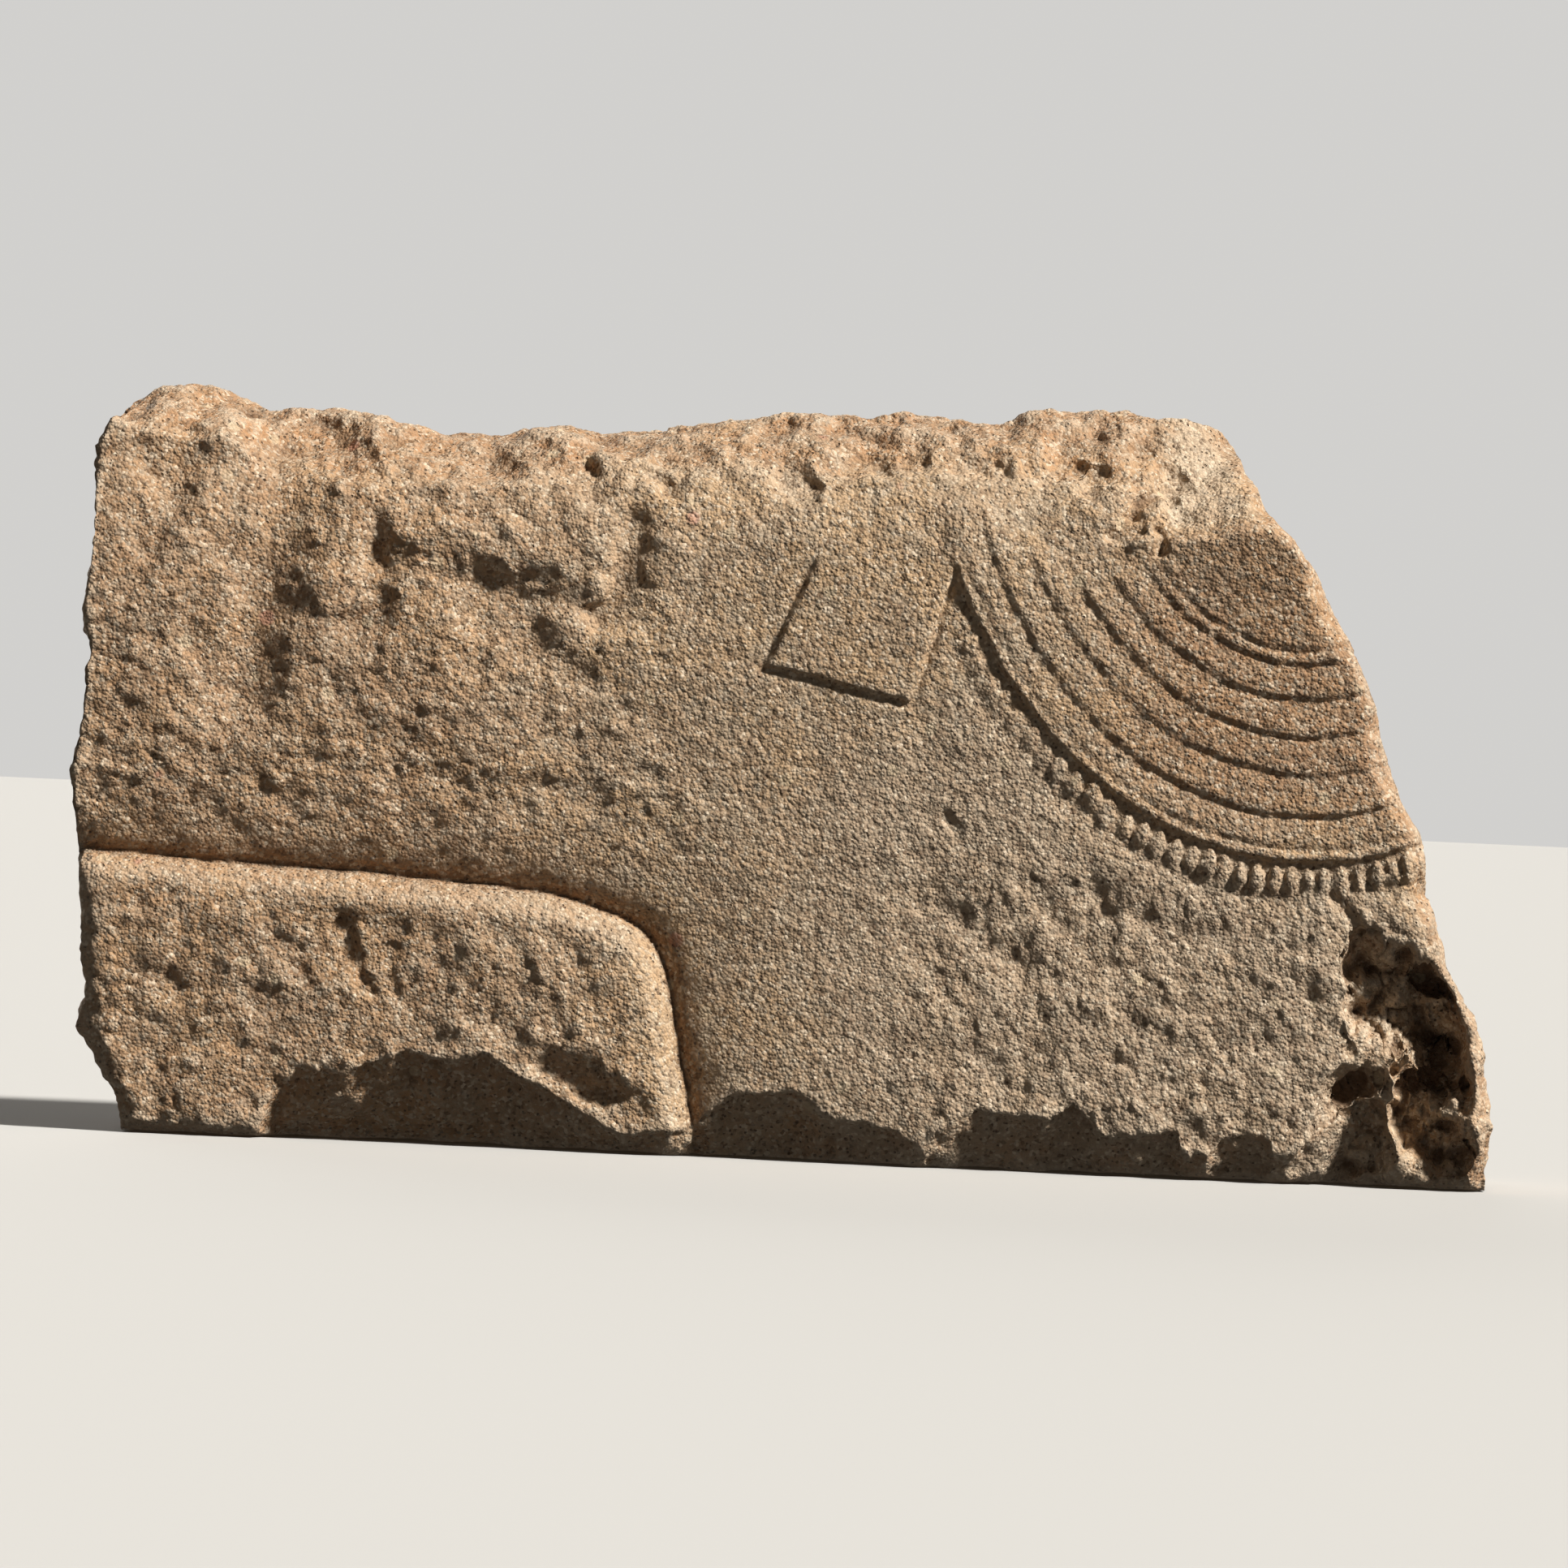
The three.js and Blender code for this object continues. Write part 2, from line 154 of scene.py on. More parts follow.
@dataclass(frozen=True)
class Outline:
    """The block's outline from the front, as shares along and across the four sides of its box."""

    width: float = 442.0
    height: float = 237.5
    left: tuple = (
        (0.019, 0.043), (0.055, 0.036), (0.087, 0.026), (0.137, 0.015), (0.171, 0.015), (0.255, 0.011),
        (0.338, 0.007), (0.422, 0.001), (0.464, 0.0), (0.549, 0.005), (0.634, 0.008), (0.675, 0.003),
        (0.718, 0.005), (0.8, 0.006), (0.886, 0.007), (0.929, 0.016), (0.952, 0.023),
    )
    right: tuple = (
        (0.02, 1.0), (0.085, 1.0), (0.127, 0.996), (0.169, 0.991), (0.211, 0.987), (0.254, 0.978),
        (0.282, 0.965), (0.335, 0.959), (0.376, 0.947), (0.418, 0.946), (0.46, 0.942), (0.501, 0.927),
        (0.542, 0.919),
        (0.583, 0.911), (0.625, 0.906), (0.666, 0.896), (0.708, 0.885), (0.749, 0.872), (0.79, 0.862),
        (0.831, 0.844), (0.871, 0.826), (0.913, 0.816), (0.954, 0.805), (0.979, 0.795),
    )
    top: tuple = (
        (0.023, 0.952), (0.042, 0.974), (0.061, 0.984), (0.079, 0.98), (0.102, 0.968), (0.119, 0.951),
        (0.164, 0.956), (0.201, 0.952), (0.21, 0.943), (0.25, 0.931), (0.278, 0.93), (0.306, 0.943),
        (0.334, 0.952), (0.362, 0.949), (0.419, 0.955), (0.447, 0.968), (0.503, 0.978), (0.588, 0.984),
        (0.645, 0.979), (0.661, 0.994), (0.729, 1.0), (0.749, 0.991), (0.769, 0.996), (0.786, 0.989),
        (0.795, 0.979),
    )
    bottom: tuple = (
        (0.043, 0.019), (0.074, 0.011), (0.102, 0.008), (0.216, 0.004), (0.357, 0.002), (0.5, 0.0),
        (0.697, 0.002), (0.8, 0.003), (0.889, 0.014), (0.923, 0.008), (0.985, 0.007), (1.0, 0.02),
    )

    def across(self, side: tuple, along: np.ndarray) -> np.ndarray:
        """The place across the box at a share along one side, in straight runs between its stations."""
        stations = np.array(side)
        return np.interp(along, stations[:, 0], stations[:, 1])

    def x(self, share: np.ndarray | float) -> np.ndarray | float:
        """A share of the width as millimetres from the middle."""
        return (share - 0.5) * self.width

    def z(self, share: np.ndarray | float) -> np.ndarray | float:
        """A share of the height as millimetres above the bed."""
        return share * self.height

    def face(self, u: np.ndarray, v: np.ndarray) -> tuple[np.ndarray, np.ndarray]:
        """Blends the four sides over the face: opposite sides mixed, less the mix of the corners.

        Args:
            u: Shares from the left side to the right, as a grid.
            v: Shares from the bottom to the top, as a grid.

        Returns:
            X and Z of each grid point in millimetres.
        """
        low, high = np.array(self.bottom), np.array(self.top)
        port, starboard = np.array(self.left), np.array(self.right)
        along_low = blend(low[0, 0], low[-1, 0], u)
        along_high = blend(high[0, 0], high[-1, 0], u)
        up_left = blend(port[0, 0], port[-1, 0], v)
        up_right = blend(starboard[0, 0], starboard[-1, 0], v)
        sides_x = blend(along_low, along_high, v) + blend(
            self.across(self.left, up_left), self.across(self.right, up_right), u
        )
        sides_z = blend(self.across(self.bottom, along_low), self.across(self.top, along_high), v) + blend(
            up_left, up_right, u
        )
        corner_x = blend(blend(port[0, 1], starboard[0, 1], u), blend(port[-1, 1], starboard[-1, 1], u), v)
        corner_z = blend(blend(port[0, 0], starboard[0, 0], u), blend(port[-1, 0], starboard[-1, 0], u), v)
        return self.x(sides_x - corner_x), self.z(sides_z - corner_z)


@dataclass
class SunkEdge:
    """The line where the figure is sunk into the flat ground: under the arm and down the body."""

    outline: Outline
    depth: float = 7.5
    rounding: float = 10.0
    cut_depth: float = 3.2
    cut_width: float = 12.0
    fall: float = 5.6
    fall_reach: float = 24.0
    stations: tuple = (
        (-0.06, 0.367), (0.003, 0.363), (0.122, 0.353), (0.236, 0.345), (0.315, 0.336), (0.361, 0.321),
        (0.401, 0.288), (0.418, 0.236), (0.43, 0.142), (0.442, 0.038), (0.449, -0.08),
    )
    samples: int = 12

    def points(self) -> np.ndarray:
        """A smooth curve through the stations, in cubics whose end slopes follow the neighbours."""
        at = np.array(self.stations)
        places = np.stack([self.outline.x(at[:, 0]), self.outline.z(at[:, 1])], axis=1)
        before = np.concatenate([places[:1], places[:-2]])
        after = np.concatenate([places[2:], places[-1:]])
        start, end = places[:-1], places[1:]
        start_slope, end_slope = (end - before) / 2, (after - start) / 2
        t = (np.arange(self.samples) / self.samples)[None, :, None]
        runs = (
            (2 * t**3 - 3 * t**2 + 1) * start[:, None]
            + (t**3 - 2 * t**2 + t) * start_slope[:, None]
            + (3 * t**2 - 2 * t**3) * end[:, None]
            + (t**3 - t**2) * end_slope[:, None]
        )
        return np.concatenate([runs.reshape(-1, 2), places[-1:]])

    def distance(self, x: np.ndarray, z: np.ndarray) -> np.ndarray:
        """Distance in millimetres from the line, positive on the figure's side."""
        line = self.points()
        nearest = np.full(x.shape, np.inf)
        side = np.ones(x.shape)
        for start, end in zip(line[:-1], line[1:]):
            run = end - start
            dx, dz = from_run(x, z, start, end)
            gap = np.hypot(dx, dz)
            closer = gap < nearest
            nearest = np.where(closer, gap, nearest)
            side = np.where(closer, np.where(run[0] * dz - run[1] * dx < 0, -1.0, 1.0), side)
        return side * nearest


@dataclass(frozen=True)
class CollarLine:
    """One carved line of the collar."""

    share: float
    fades_at: float
    step: float
    groove: float = 0.0


@dataclass
class Collar:
    """The broad collar: nested ellipses about one centre above the broken edge, stepped like laid rows."""

    outline: Outline
    lean: float = 2.6
    reach: float = 165.0
    narrow_inside: float = 0.757
    narrow_outside: float = 0.787
    centre: tuple = (0.85, 1.063)
    rise: float = 1.5
    fade: float = 9.0
    lines: tuple = (
        CollarLine(0.5355, 52, 0.2, 0.9),
        CollarLine(0.5613, 53, 0.8, 0.7),
        CollarLine(0.6263, 56, 0.9, 0.6),
        CollarLine(0.6974, 60, 0.9, 0.6),
        CollarLine(0.767, 70, 0.8, 0.5),
        CollarLine(0.8457, 77, 1.0, 0.6),
        CollarLine(0.9062, 75, 0.2, 0.8),
        CollarLine(0.9304, 71, 1.2, 0.45),
    )
    bead_pitch: float = 5.3
    bead_pitch_worn: float = 6.8
    bead_length: float = 10.0
    bead_width: float = 6.0
    bead_rise: float = 1.6
    beads_end: float = 60.0

    def polar(self, x: np.ndarray, z: np.ndarray) -> tuple[np.ndarray, np.ndarray]:
        """Turns places on the face into the collar's own ring and angle.

        The ring is the place's distance from the centre in a plane stretched sideways, so that the ellipses
        become circles. The stretch changes a little with the ring, so it is settled in a few rounds.

        Args:
            x: Places along the block.
            z: Heights.

        Returns:
            Shares of the reach, and angles in degrees from straight down, positive to the left.
        """
        turn = math.radians(self.lean)
        dx = x - self.outline.x(self.centre[0])
        dz = z - self.outline.z(self.centre[1])
        right = dx * math.cos(turn) + dz * math.sin(turn)
        up = -dx * math.sin(turn) + dz * math.cos(turn)
        inside = self.lines[0].share
        ring = np.hypot(right / self.narrow_outside, up) / self.reach
        for _ in range(4):
            narrow = blend(self.narrow_inside, self.narrow_outside, (ring - inside) / (1 - inside))
            narrow = np.clip(narrow, 0.7, 0.83)
            ring = np.hypot(right / narrow, up) / self.reach
        return ring, np.degrees(np.arctan2(-right / narrow, -up))

    def profile(self, softness: float) -> tuple[np.ndarray, np.ndarray]:
        """Ring shares and the height at each: a row rises outwards to its line, then drops a step.

        The softness is the width in millimetres over which the edges are worn.
        """
        rings = np.linspace(self.lines[0].share - 0.06, 1.1, 1400)
        spacing = (rings[1] - rings[0]) * self.reach
        height = np.full(rings.shape, self.rise)
        for line, following in zip(self.lines, self.lines[1:] + (None,)):
            end = following.share if following else 1.1
            along = np.clip((rings - line.share) / (end - line.share), 0.0, 1.0)
            inside = (rings >= line.share) & (rings < end)
            back = (1 - along) ** 1.4 if following else 1.0
            height = np.where(inside, self.rise - line.step * back, height)
            gap = (rings - line.share) * self.reach
            height -= line.groove * np.exp(-((gap / 0.8) ** 2))
        reach = np.arange(-int(4 * softness / spacing), int(4 * softness / spacing) + 1) * spacing
        window = np.exp(-0.5 * (reach / softness) ** 2)
        padded = np.pad(height, len(reach) // 2, mode="edge")
        return rings, np.convolve(padded, window / window.sum(), mode="valid")

    def bead_places(self) -> tuple[np.ndarray, np.ndarray, np.ndarray]:
        """Angles, the running count of beads there (arc length over pitch, summed), and the local pitch."""
        angles = np.linspace(-40.0, 80.0, 1200)
        middle = (self.lines[-1].share + 1) / 2 * self.reach
        radians = np.radians(angles)
        arc = middle * np.hypot(self.narrow_outside * np.cos(radians), np.sin(radians))
        pitch = blend(self.bead_pitch, self.bead_pitch_worn, smooth_step(angles, 18.0, 34.0))
        count = np.cumsum(arc / pitch) * np.radians(angles[1] - angles[0])
        return angles, count, pitch

    def beads(self, ring: np.ndarray, angle: np.ndarray, noise: StoneNoise) -> np.ndarray:
        """Drop beads, narrow at the inner end and round at the outer: half ellipsoids of uneven size.

        Args:
            ring: Shares of the reach.
            angle: Angles in degrees.
            noise: Gives each bead its own size and place.

        Returns:
            Height added by the beads.
        """
        angles, count, pitches = self.bead_places()
        place = np.interp(angle, angles, count)
        pitch = np.interp(angle, angles, pitches)
        index = np.floor(place).astype(int)
        chance = noise.centres[index % noise.cells, 7, 11]
        worn = smooth_step(angle, 20.0, 36.0)
        middle = (self.lines[-1].share + 1) / 2
        off = (place - index - 0.5 + blend(0.12, 0.3, worn) * (chance[..., 0] - 0.5)) * pitch
        out = (ring - middle) * self.reach + blend(0.5, 2.5, worn) * (chance[..., 1] - 0.5)
        size = 1 + blend(0.16, 0.5, worn) * (chance[..., 2] - 0.5)
        along = out / (self.bead_length / 2 * size)
        narrowing = blend(0.62, 1.0, smooth_step(along, -0.9, 0.3))
        wide = self.bead_width / 2 * size * blend(1.0, 1.25, worn) * narrowing
        hump = np.clip(1 - along**2 - (off / wide) ** 2, 0, None) ** 0.7
        tall = (1 + blend(0.2, 0.9, worn) * (chance[..., 1] - 0.5)) * blend(1.0, 0.7, worn)
        return self.bead_rise * tall * hump * (1 - smooth_step(angle, self.beads_end - 4, self.beads_end + 2))

    def height(self, x: np.ndarray, z: np.ndarray, noise: StoneNoise) -> tuple[np.ndarray, np.ndarray]:
        """How far the collar stands above the chest, and how surely a place lies on it.

        Args:
            x: Places along the block.
            z: Heights.
            noise: Wears the lines unevenly.

        Returns:
            Height in millimetres, and a mask from 0 to 1.
        """
        ring, angle = self.polar(x, z)
        shares = np.array([line.share for line in self.lines])
        ends = np.array([line.fades_at for line in self.lines], dtype=float)
        start = np.interp(ring, shares, ends)
        kept = 1 - smooth_step(angle, start - self.fade, start + 1.0)
        worn = smooth_step(angle, 8.0, 42.0)
        rings, crisp = self.profile(0.45)
        _, soft = self.profile(0.9)
        stepped = blend(np.interp(ring, rings, crisp), np.interp(ring, rings, soft), worn)
        past_rows = (ring - self.lines[-1].share) * self.reach
        edge = 1 - smooth_step(past_rows, -0.8, 1.0)
        on_rows = kept * edge
        neck = smooth_step((self.lines[0].share - ring) * self.reach, 0.0, 34.0)
        bead_ground = smooth_step(past_rows, -1, 1) * (1 - smooth_step((ring - 1) * self.reach, 0.0, 7.0))
        return (
            stepped * on_rows
            + 2.2 * neck * kept
            - 0.35 * bead_ground * kept
            + self.beads(ring, angle, noise) * smooth_step(past_rows, -0.6, 0.8)
        ), on_rows


@dataclass
class RibbonEnd:
    """The end of a ribbon on the shoulder: a thin plate, wider at the bottom, worn away at the top."""

    outline: Outline
    rise: float = 1.3
    low_left: tuple = (0.48, 0.642)
    low_right: tuple = (0.581, 0.603)
    top_left: tuple = (0.524, 0.83)
    top_right: tuple = (0.617, 0.843)

    def side(self, start: tuple, end: tuple, x: np.ndarray, z: np.ndarray) -> np.ndarray:
        """Distance from the line through two corners, positive to its left."""
        ax, az = self.outline.x(start[0]), self.outline.z(start[1])
        bx, bz = self.outline.x(end[0]), self.outline.z(end[1])
        return ((bx - ax) * (z - az) - (bz - az) * (x - ax)) / math.hypot(bx - ax, bz - az)

    def height(self, x: np.ndarray, z: np.ndarray) -> np.ndarray:
        """The plate's height: level inside, with a cut line just outside its left, lower and right edges."""
        left = self.side(self.top_left, self.low_left, x, z)
        low = self.side(self.low_left, self.low_right, x, z)
        right = self.side(self.low_right, self.top_right, x, z)
        inside = np.minimum(np.minimum(left, low), right)
        worn_top = 1 - smooth_step(self.outline.z(0.83) - z, 0.0, self.outline.z(0.1))
        plate = self.rise * smooth_step(inside, -0.7, 0.9)
        cut = 0.7 * np.exp(-(((inside + 1.3) / 1.1) ** 2))
        return (plate - cut) * (1 - worn_top)


@dataclass(frozen=True)
class Hollow:
    """A hollow in the face: its centre in shares, half sizes, depth, lean from upright, and edge power."""

    at: tuple
    long: float
    wide: float
    deep: float
    lean: float = 0.0
    edge: float = 1.0

    def depth(self, outline: Outline, x: np.ndarray, z: np.ndarray) -> np.ndarray:
        """A bowl: depth times (1 - r^2) to the power of edge, where r is 1 on the rim ellipse."""
        turn = math.radians(self.lean)
        dx = x - outline.x(self.at[0])
        dz = z - outline.z(self.at[1])
        sideways = (dx * math.cos(turn) - dz * math.sin(turn)) / self.wide
        lengthways = (dx * math.sin(turn) + dz * math.cos(turn)) / self.long
        return self.deep * np.clip(1 - sideways**2 - lengthways**2, 0, None) ** self.edge


@dataclass(frozen=True)
class Groove:
    """A worn groove, or a rib where its depth is negative, along straight runs between places in shares."""

    path: tuple
    reach: float
    deep: float

    def depth(self, outline: Outline, x: np.ndarray, z: np.ndarray) -> np.ndarray:
        """Depth times e to the power of minus (distance from the path over reach) squared."""
        nearest = np.full(x.shape, np.inf)
        stations = [np.array([outline.x(across), outline.z(up)]) for across, up in self.path]
        for start, end in zip(stations[:-1], stations[1:]):
            nearest = np.minimum(nearest, np.hypot(*from_run(x, z, start, end)))
        return self.deep * np.exp(-((nearest / self.reach) ** 2))


@dataclass
class Relief:
    """What the face looks like at each place: its depth, and how the stone there is worn."""

    depth: np.ndarray
    broken: np.ndarray
    lumpy: np.ndarray
    pitted: np.ndarray
    stain_and_shade: np.ndarray


@dataclass
class Zones:
    """Where the forms of the face lie: distances and depths in millimetres, and shares from 0 to 1."""

    from_edge: np.ndarray
    on_figure: np.ndarray
    on_collar: np.ndarray
    ribbon: np.ndarray
    torn: np.ndarray
    in_hollow: np.ndarray
    grooved: np.ndarray
    up: np.ndarray
    right_gap: np.ndarray


@dataclass
class Face:
    """The carved face: every form on it as one depth behind the front plane."""

    outline: Outline
    edge: SunkEdge
    collar: Collar
    ribbon: RibbonEnd
    noise: StoneNoise
    chest_setback: float = 2.2
    chest_swell: float = 1.7
    arm_crown_fall: float = 3.5
    shoulder_fall: float = 5.5
    top_setback: float = 34.0
    under_slope: float = 0.7
    under_step: float = 0.35
    rim_setback: float = 7.0
    rim_width: float = 7.0
    ground_setback: float = 0.5
    ground_wear: float = 3.0
    ground_lean: float = 2.4
    top_break: tuple = (
        (0.0, 0.91), (0.09, 0.91), (0.13, 0.86), (0.3, 0.86), (0.55, 0.885), (0.66, 0.88), (0.74, 0.84),
        (1.0, 0.82),
    )
    low_break: tuple = (
        (0.0, -0.02), (0.14, 0.0), (0.144, 0.018), (0.154, 0.072), (0.168, 0.087), (0.202, 0.09),
        (0.21, 0.103), (0.241, 0.116), (0.267, 0.106), (0.298, 0.118), (0.321, 0.096), (0.35, 0.07),
        (0.376, 0.035), (0.396, 0.028), (0.441, 0.036), (0.448, 0.054), (0.469, 0.08), (0.516, 0.087),
        (0.531, 0.067), (0.56, 0.053), (0.579, 0.042), (0.59, 0.032), (0.604, 0.03), (0.613, 0.05),
        (0.639, 0.074), (0.69, 0.07), (0.706, 0.087), (0.735, 0.052), (0.752, 0.054),
        (0.776, 0.063), (0.789, 0.034), (0.802, 0.034), (0.813, 0.056),
        (0.837, 0.061), (0.848, 0.034), (0.862, 0.032), (0.877, 0.064), (0.887, 0.097), (0.901, 0.124),
        (0.93, 0.06), (1.0, 0.05),
    )
    grooves: tuple = (
        Groove(((0.139, 0.87), (0.132, 0.78), (0.124, 0.68), (0.113, 0.58)), 10.5, 5.2),
        Groove(((0.2, 0.81), (0.204, 0.775)), 4.2, 2.0),
        Groove(((0.203, 0.775), (0.214, 0.757), (0.236, 0.752), (0.262, 0.743)), 5.0, 1.3),
        Groove(((0.203, 0.75), (0.204, 0.7), (0.195, 0.66)), 7.0, 2.4),
        Groove(((0.282, 0.722), (0.308, 0.698)), 8.0, 3.2),
        Groove(((0.33, 0.72), (0.352, 0.71)), 5.5, 1.8),
        Groove(((0.28, 0.68), (0.277, 0.62)), 5.0, 1.9),
        Groove(((0.314, 0.655), (0.34, 0.63)), 8.0, 2.2),
        Groove(((0.385, 0.81), (0.382, 0.765), (0.375, 0.72), (0.364, 0.692)), 5.5, 3.8),
        Groove(((0.178, 0.86), (0.179, 0.75), (0.168, 0.66)), 6.0, -1.2),
        Groove(((0.235, 0.79), (0.3, 0.775), (0.35, 0.79)), 9.0, -0.9),
        Groove(((0.066, 0.91), (0.058, 0.84), (0.05, 0.78)), 8.0, 2.2),
        Groove(((0.101, 0.84), (0.094, 0.77)), 7.0, 1.6),
        Groove(((0.07, 0.7), (0.085, 0.63)), 8.0, 1.5),
        Groove(((0.75, 0.89), (0.735, 0.862), (0.72, 0.835)), 2.4, 3.6),
        Groove(((0.762, 0.88), (0.745, 0.848), (0.733, 0.825)), 2.6, -1.8),
        Groove(((0.749, 0.835), (0.751, 0.81)), 2.2, 2.6),
        Groove(((0.197, 0.275), (0.2, 0.245), (0.213, 0.205)), 3.4, 1.9),
        Groove(((0.226, 0.24), (0.23, 0.2)), 3.0, 1.4),
        Groove(((0.16, 0.235), (0.172, 0.2)), 3.4, 1.2),
        Groove(((0.044, 0.3), (0.07, 0.315)), 3.6, 1.3),
        Groove(((0.26, 0.27), (0.272, 0.25)), 3.4, 1.1),
        Groove(((0.716, 0.356), (0.726, 0.34)), 3.4, 1.4),
        Groove(((0.69, 0.345), (0.705, 0.31), (0.73, 0.275)), 6.0, 0.9),
        Groove(((0.64, 0.3), (0.675, 0.255)), 6.0, 1.1),
        Groove(((0.755, 0.33), (0.8, 0.3)), 7.0, 1.1),
        Groove(((0.6, 0.28), (0.61, 0.23)), 6.0, 0.9),
        Groove(((0.595, 0.345), (0.62, 0.325)), 3.2, 1.2),
        Groove(((0.61, 0.45), (0.617, 0.43)), 2.2, 1.3),
        Groove(((0.885, 0.37), (0.895, 0.345)), 3.0, 1.4),
    )
    broken_hollows: tuple = (
        Hollow((0.362, 0.09), 28, 10.0, 3.2, -60, 1.6),
        Hollow((0.493, 0.883), 7.5, 11.5, 4.8, 60, 1.3),
        Hollow((0.481, 0.91), 6.3, 10.4, 4.2, 20, 1.3),
        Hollow((0.347, 0.894), 5.6, 6.9, 3.2, 30, 1.3),
        Hollow((0.398, 0.875), 5.6, 8.0, 3.4, 20, 1.3),
        Hollow((0.406, 0.9), 5.6, 6.9, 3.2, 20, 1.3),
        Hollow((0.356, 0.846), 6.3, 9.2, 2.4, -50, 1.3),
        Hollow((0.38, 0.913), 4.4, 5.2, 2.8, 0, 1.3),
        Hollow((0.544, 0.921), 5.5, 9.0, 3.4, 0, 1.3),
        Hollow((0.584, 0.925), 6.0, 11.0, 3.6, 0, 1.3),
        Hollow((0.63, 0.915), 5.0, 9.0, 3.0, 20, 1.3),
        Hollow((0.68, 0.933), 6.3, 10.0, 4.0, 40, 1.3),
        Hollow((0.734, 0.932), 7.5, 5.8, 3.8, 0, 1.3),
        Hollow((0.754, 0.907), 6.3, 8.0, 3.8, 40, 1.3),
        Hollow((0.7, 0.9), 6.3, 6.9, 2.8, 40, 1.3),
        Hollow((0.918, 0.25), 21, 12, 14, -10, 0.7),
        Hollow((0.955, 0.19), 27, 13, 17, -12, 0.7),
        Hollow((0.957, 0.085), 20, 14, 13, -16, 0.7),
        Hollow((0.903, 0.125), 11, 25, 8, -58, 1.3),
        Hollow((0.912, 0.05), 12, 20, 9, -80, 1.1),
        Hollow((0.951, 0.313), 4.5, 2.6, 4, -40, 0.7),
    )

    def break_share(self, x: np.ndarray, z: np.ndarray) -> np.ndarray:
        """How far up the broken top a place lies: 0 where the break starts, 1 at the skyline."""
        s = np.clip(x / self.outline.width + 0.5, 0.0, 1.0)
        start = self.outline.across(self.top_break, s)
        crest = self.outline.across(self.outline.top, s)
        return np.maximum(0.0, (z / self.outline.height - start) / (crest - start))

    def figure(self, x: np.ndarray, z: np.ndarray, from_edge: np.ndarray) -> np.ndarray:
        """The figure's broad form: chest, fall to the sunk edge, arm's crown, shoulder, broken top and rim.

        Args:
            x: Places along the block.
            z: Heights.
            from_edge: Distance from the sunk edge.

        Returns:
            Depth behind the front plane.
        """
        s = np.clip(x / self.outline.width + 0.5, 0.0, 1.0)
        t = z / self.outline.height
        level = self.chest_setback - self.chest_swell * smooth_step(s, 0.35, 0.95)
        fall = self.edge.fall * np.exp(-np.maximum(from_edge, 0) / self.edge.fall_reach)
        crown = self.arm_crown_fall * smooth_step(t, 0.62, 0.9) * (1 - smooth_step(s, 0.35, 0.6))
        shoulder = self.shoulder_fall * np.clip((t - 0.77) / 0.1, 0, 1.1) ** 2
        shoulder = shoulder * (1 - smooth_step(s, 0.66, 0.76))
        up = self.break_share(x, z)
        steep = blend(0.3, 1.1, smooth_step(s, 0.68, 0.78))
        top = self.top_setback * (steep * up + (1 - steep) * up**2)
        gap = self.outline.x(self.outline.across(self.outline.right, t)) - x
        rim = self.rim_setback * np.clip(1 - gap / self.rim_width, 0, 1.5) ** 2
        return level + fall + crown + shoulder + top + rim

    def ground(self, x: np.ndarray, z: np.ndarray) -> np.ndarray:
        """The flat ground's depth: nearly none, worn back at the left and bottom rims."""
        t = z / self.outline.height
        gap = x - self.outline.x(self.outline.across(self.outline.left, t))
        worn_left = self.ground_wear * np.clip(1 - gap / self.rim_width, 0, 1) ** 2
        worn_low = self.ground_wear * np.clip(1 - z / self.rim_width, 0, 1) ** 2
        wave = 0.5 * np.sin(34 * x / self.outline.width) * np.cos(22 * t)
        lean_back = self.ground_lean * (1 - smooth_step(t, 0.0, 0.34))
        return self.ground_setback + wave + worn_left + worn_low + lean_back

    def under_break(self, x: np.ndarray, z: np.ndarray) -> tuple[np.ndarray, np.ndarray]:
        """The broken lower edge, a step and a slope that faces down: its depth, and where it lies."""
        s = x / self.outline.width + 0.5
        below = self.outline.z(self.outline.across(self.low_break, s)) - z
        torn = smooth_step(below, -0.4, 1.0)
        return self.under_slope * np.maximum(below, 0) + self.under_step * torn, torn

    def deepest(self, hollows: tuple, x: np.ndarray, z: np.ndarray) -> np.ndarray:
        """The deepest of several hollows at each place."""
        hollow = np.zeros_like(x)
        for each in hollows:
            hollow = np.maximum(hollow, each.depth(self.outline, x, z))
        return hollow

    def chips(self, places: np.ndarray, size: float) -> np.ndarray:
        """Angular fragments: each cell round a scattered centre has its own level and falls away from it."""
        distance, chance = self.noise.grains(places, size)
        return (chance - 0.5) * 1.2 + distance * 0.9 - 0.4

    def waver(self, places: np.ndarray, away: float) -> np.ndarray:
        """How far the carved lines waver, in millimetres; away picks another part of the noise."""
        slow = 2.2 * self.noise.layered(places + away, 16.0, 3)
        return slow + 0.6 * self.noise.lumps(places + (away + 50.0), 4.0)

    def broken_depth(self, places: np.ndarray, shift_x: np.ndarray, shift_z: np.ndarray) -> np.ndarray:
        """The deepest broken hollow at each place, with jagged rims in the lower right corner.

        Args:
            places: Places on the face, one per row.
            shift_x: How far the lines waver along the block.
            shift_z: How far they waver in height.

        Returns:
            Depth in millimetres.
        """
        x, z = places[:, 0], places[:, 2]
        _, jag_x = self.noise.grains(places + 500.0, 7.0)
        _, jag_z = self.noise.grains(places + 600.0, 6.0)
        corner = 2.5 * smooth_step(x / self.outline.width + 0.5, 0.84, 0.88)
        jagged_x = x + 1.8 * shift_x + corner * (jag_x - 0.5)
        return self.deepest(self.broken_hollows, jagged_x, z + 1.8 * shift_z + corner * (jag_z - 0.5))

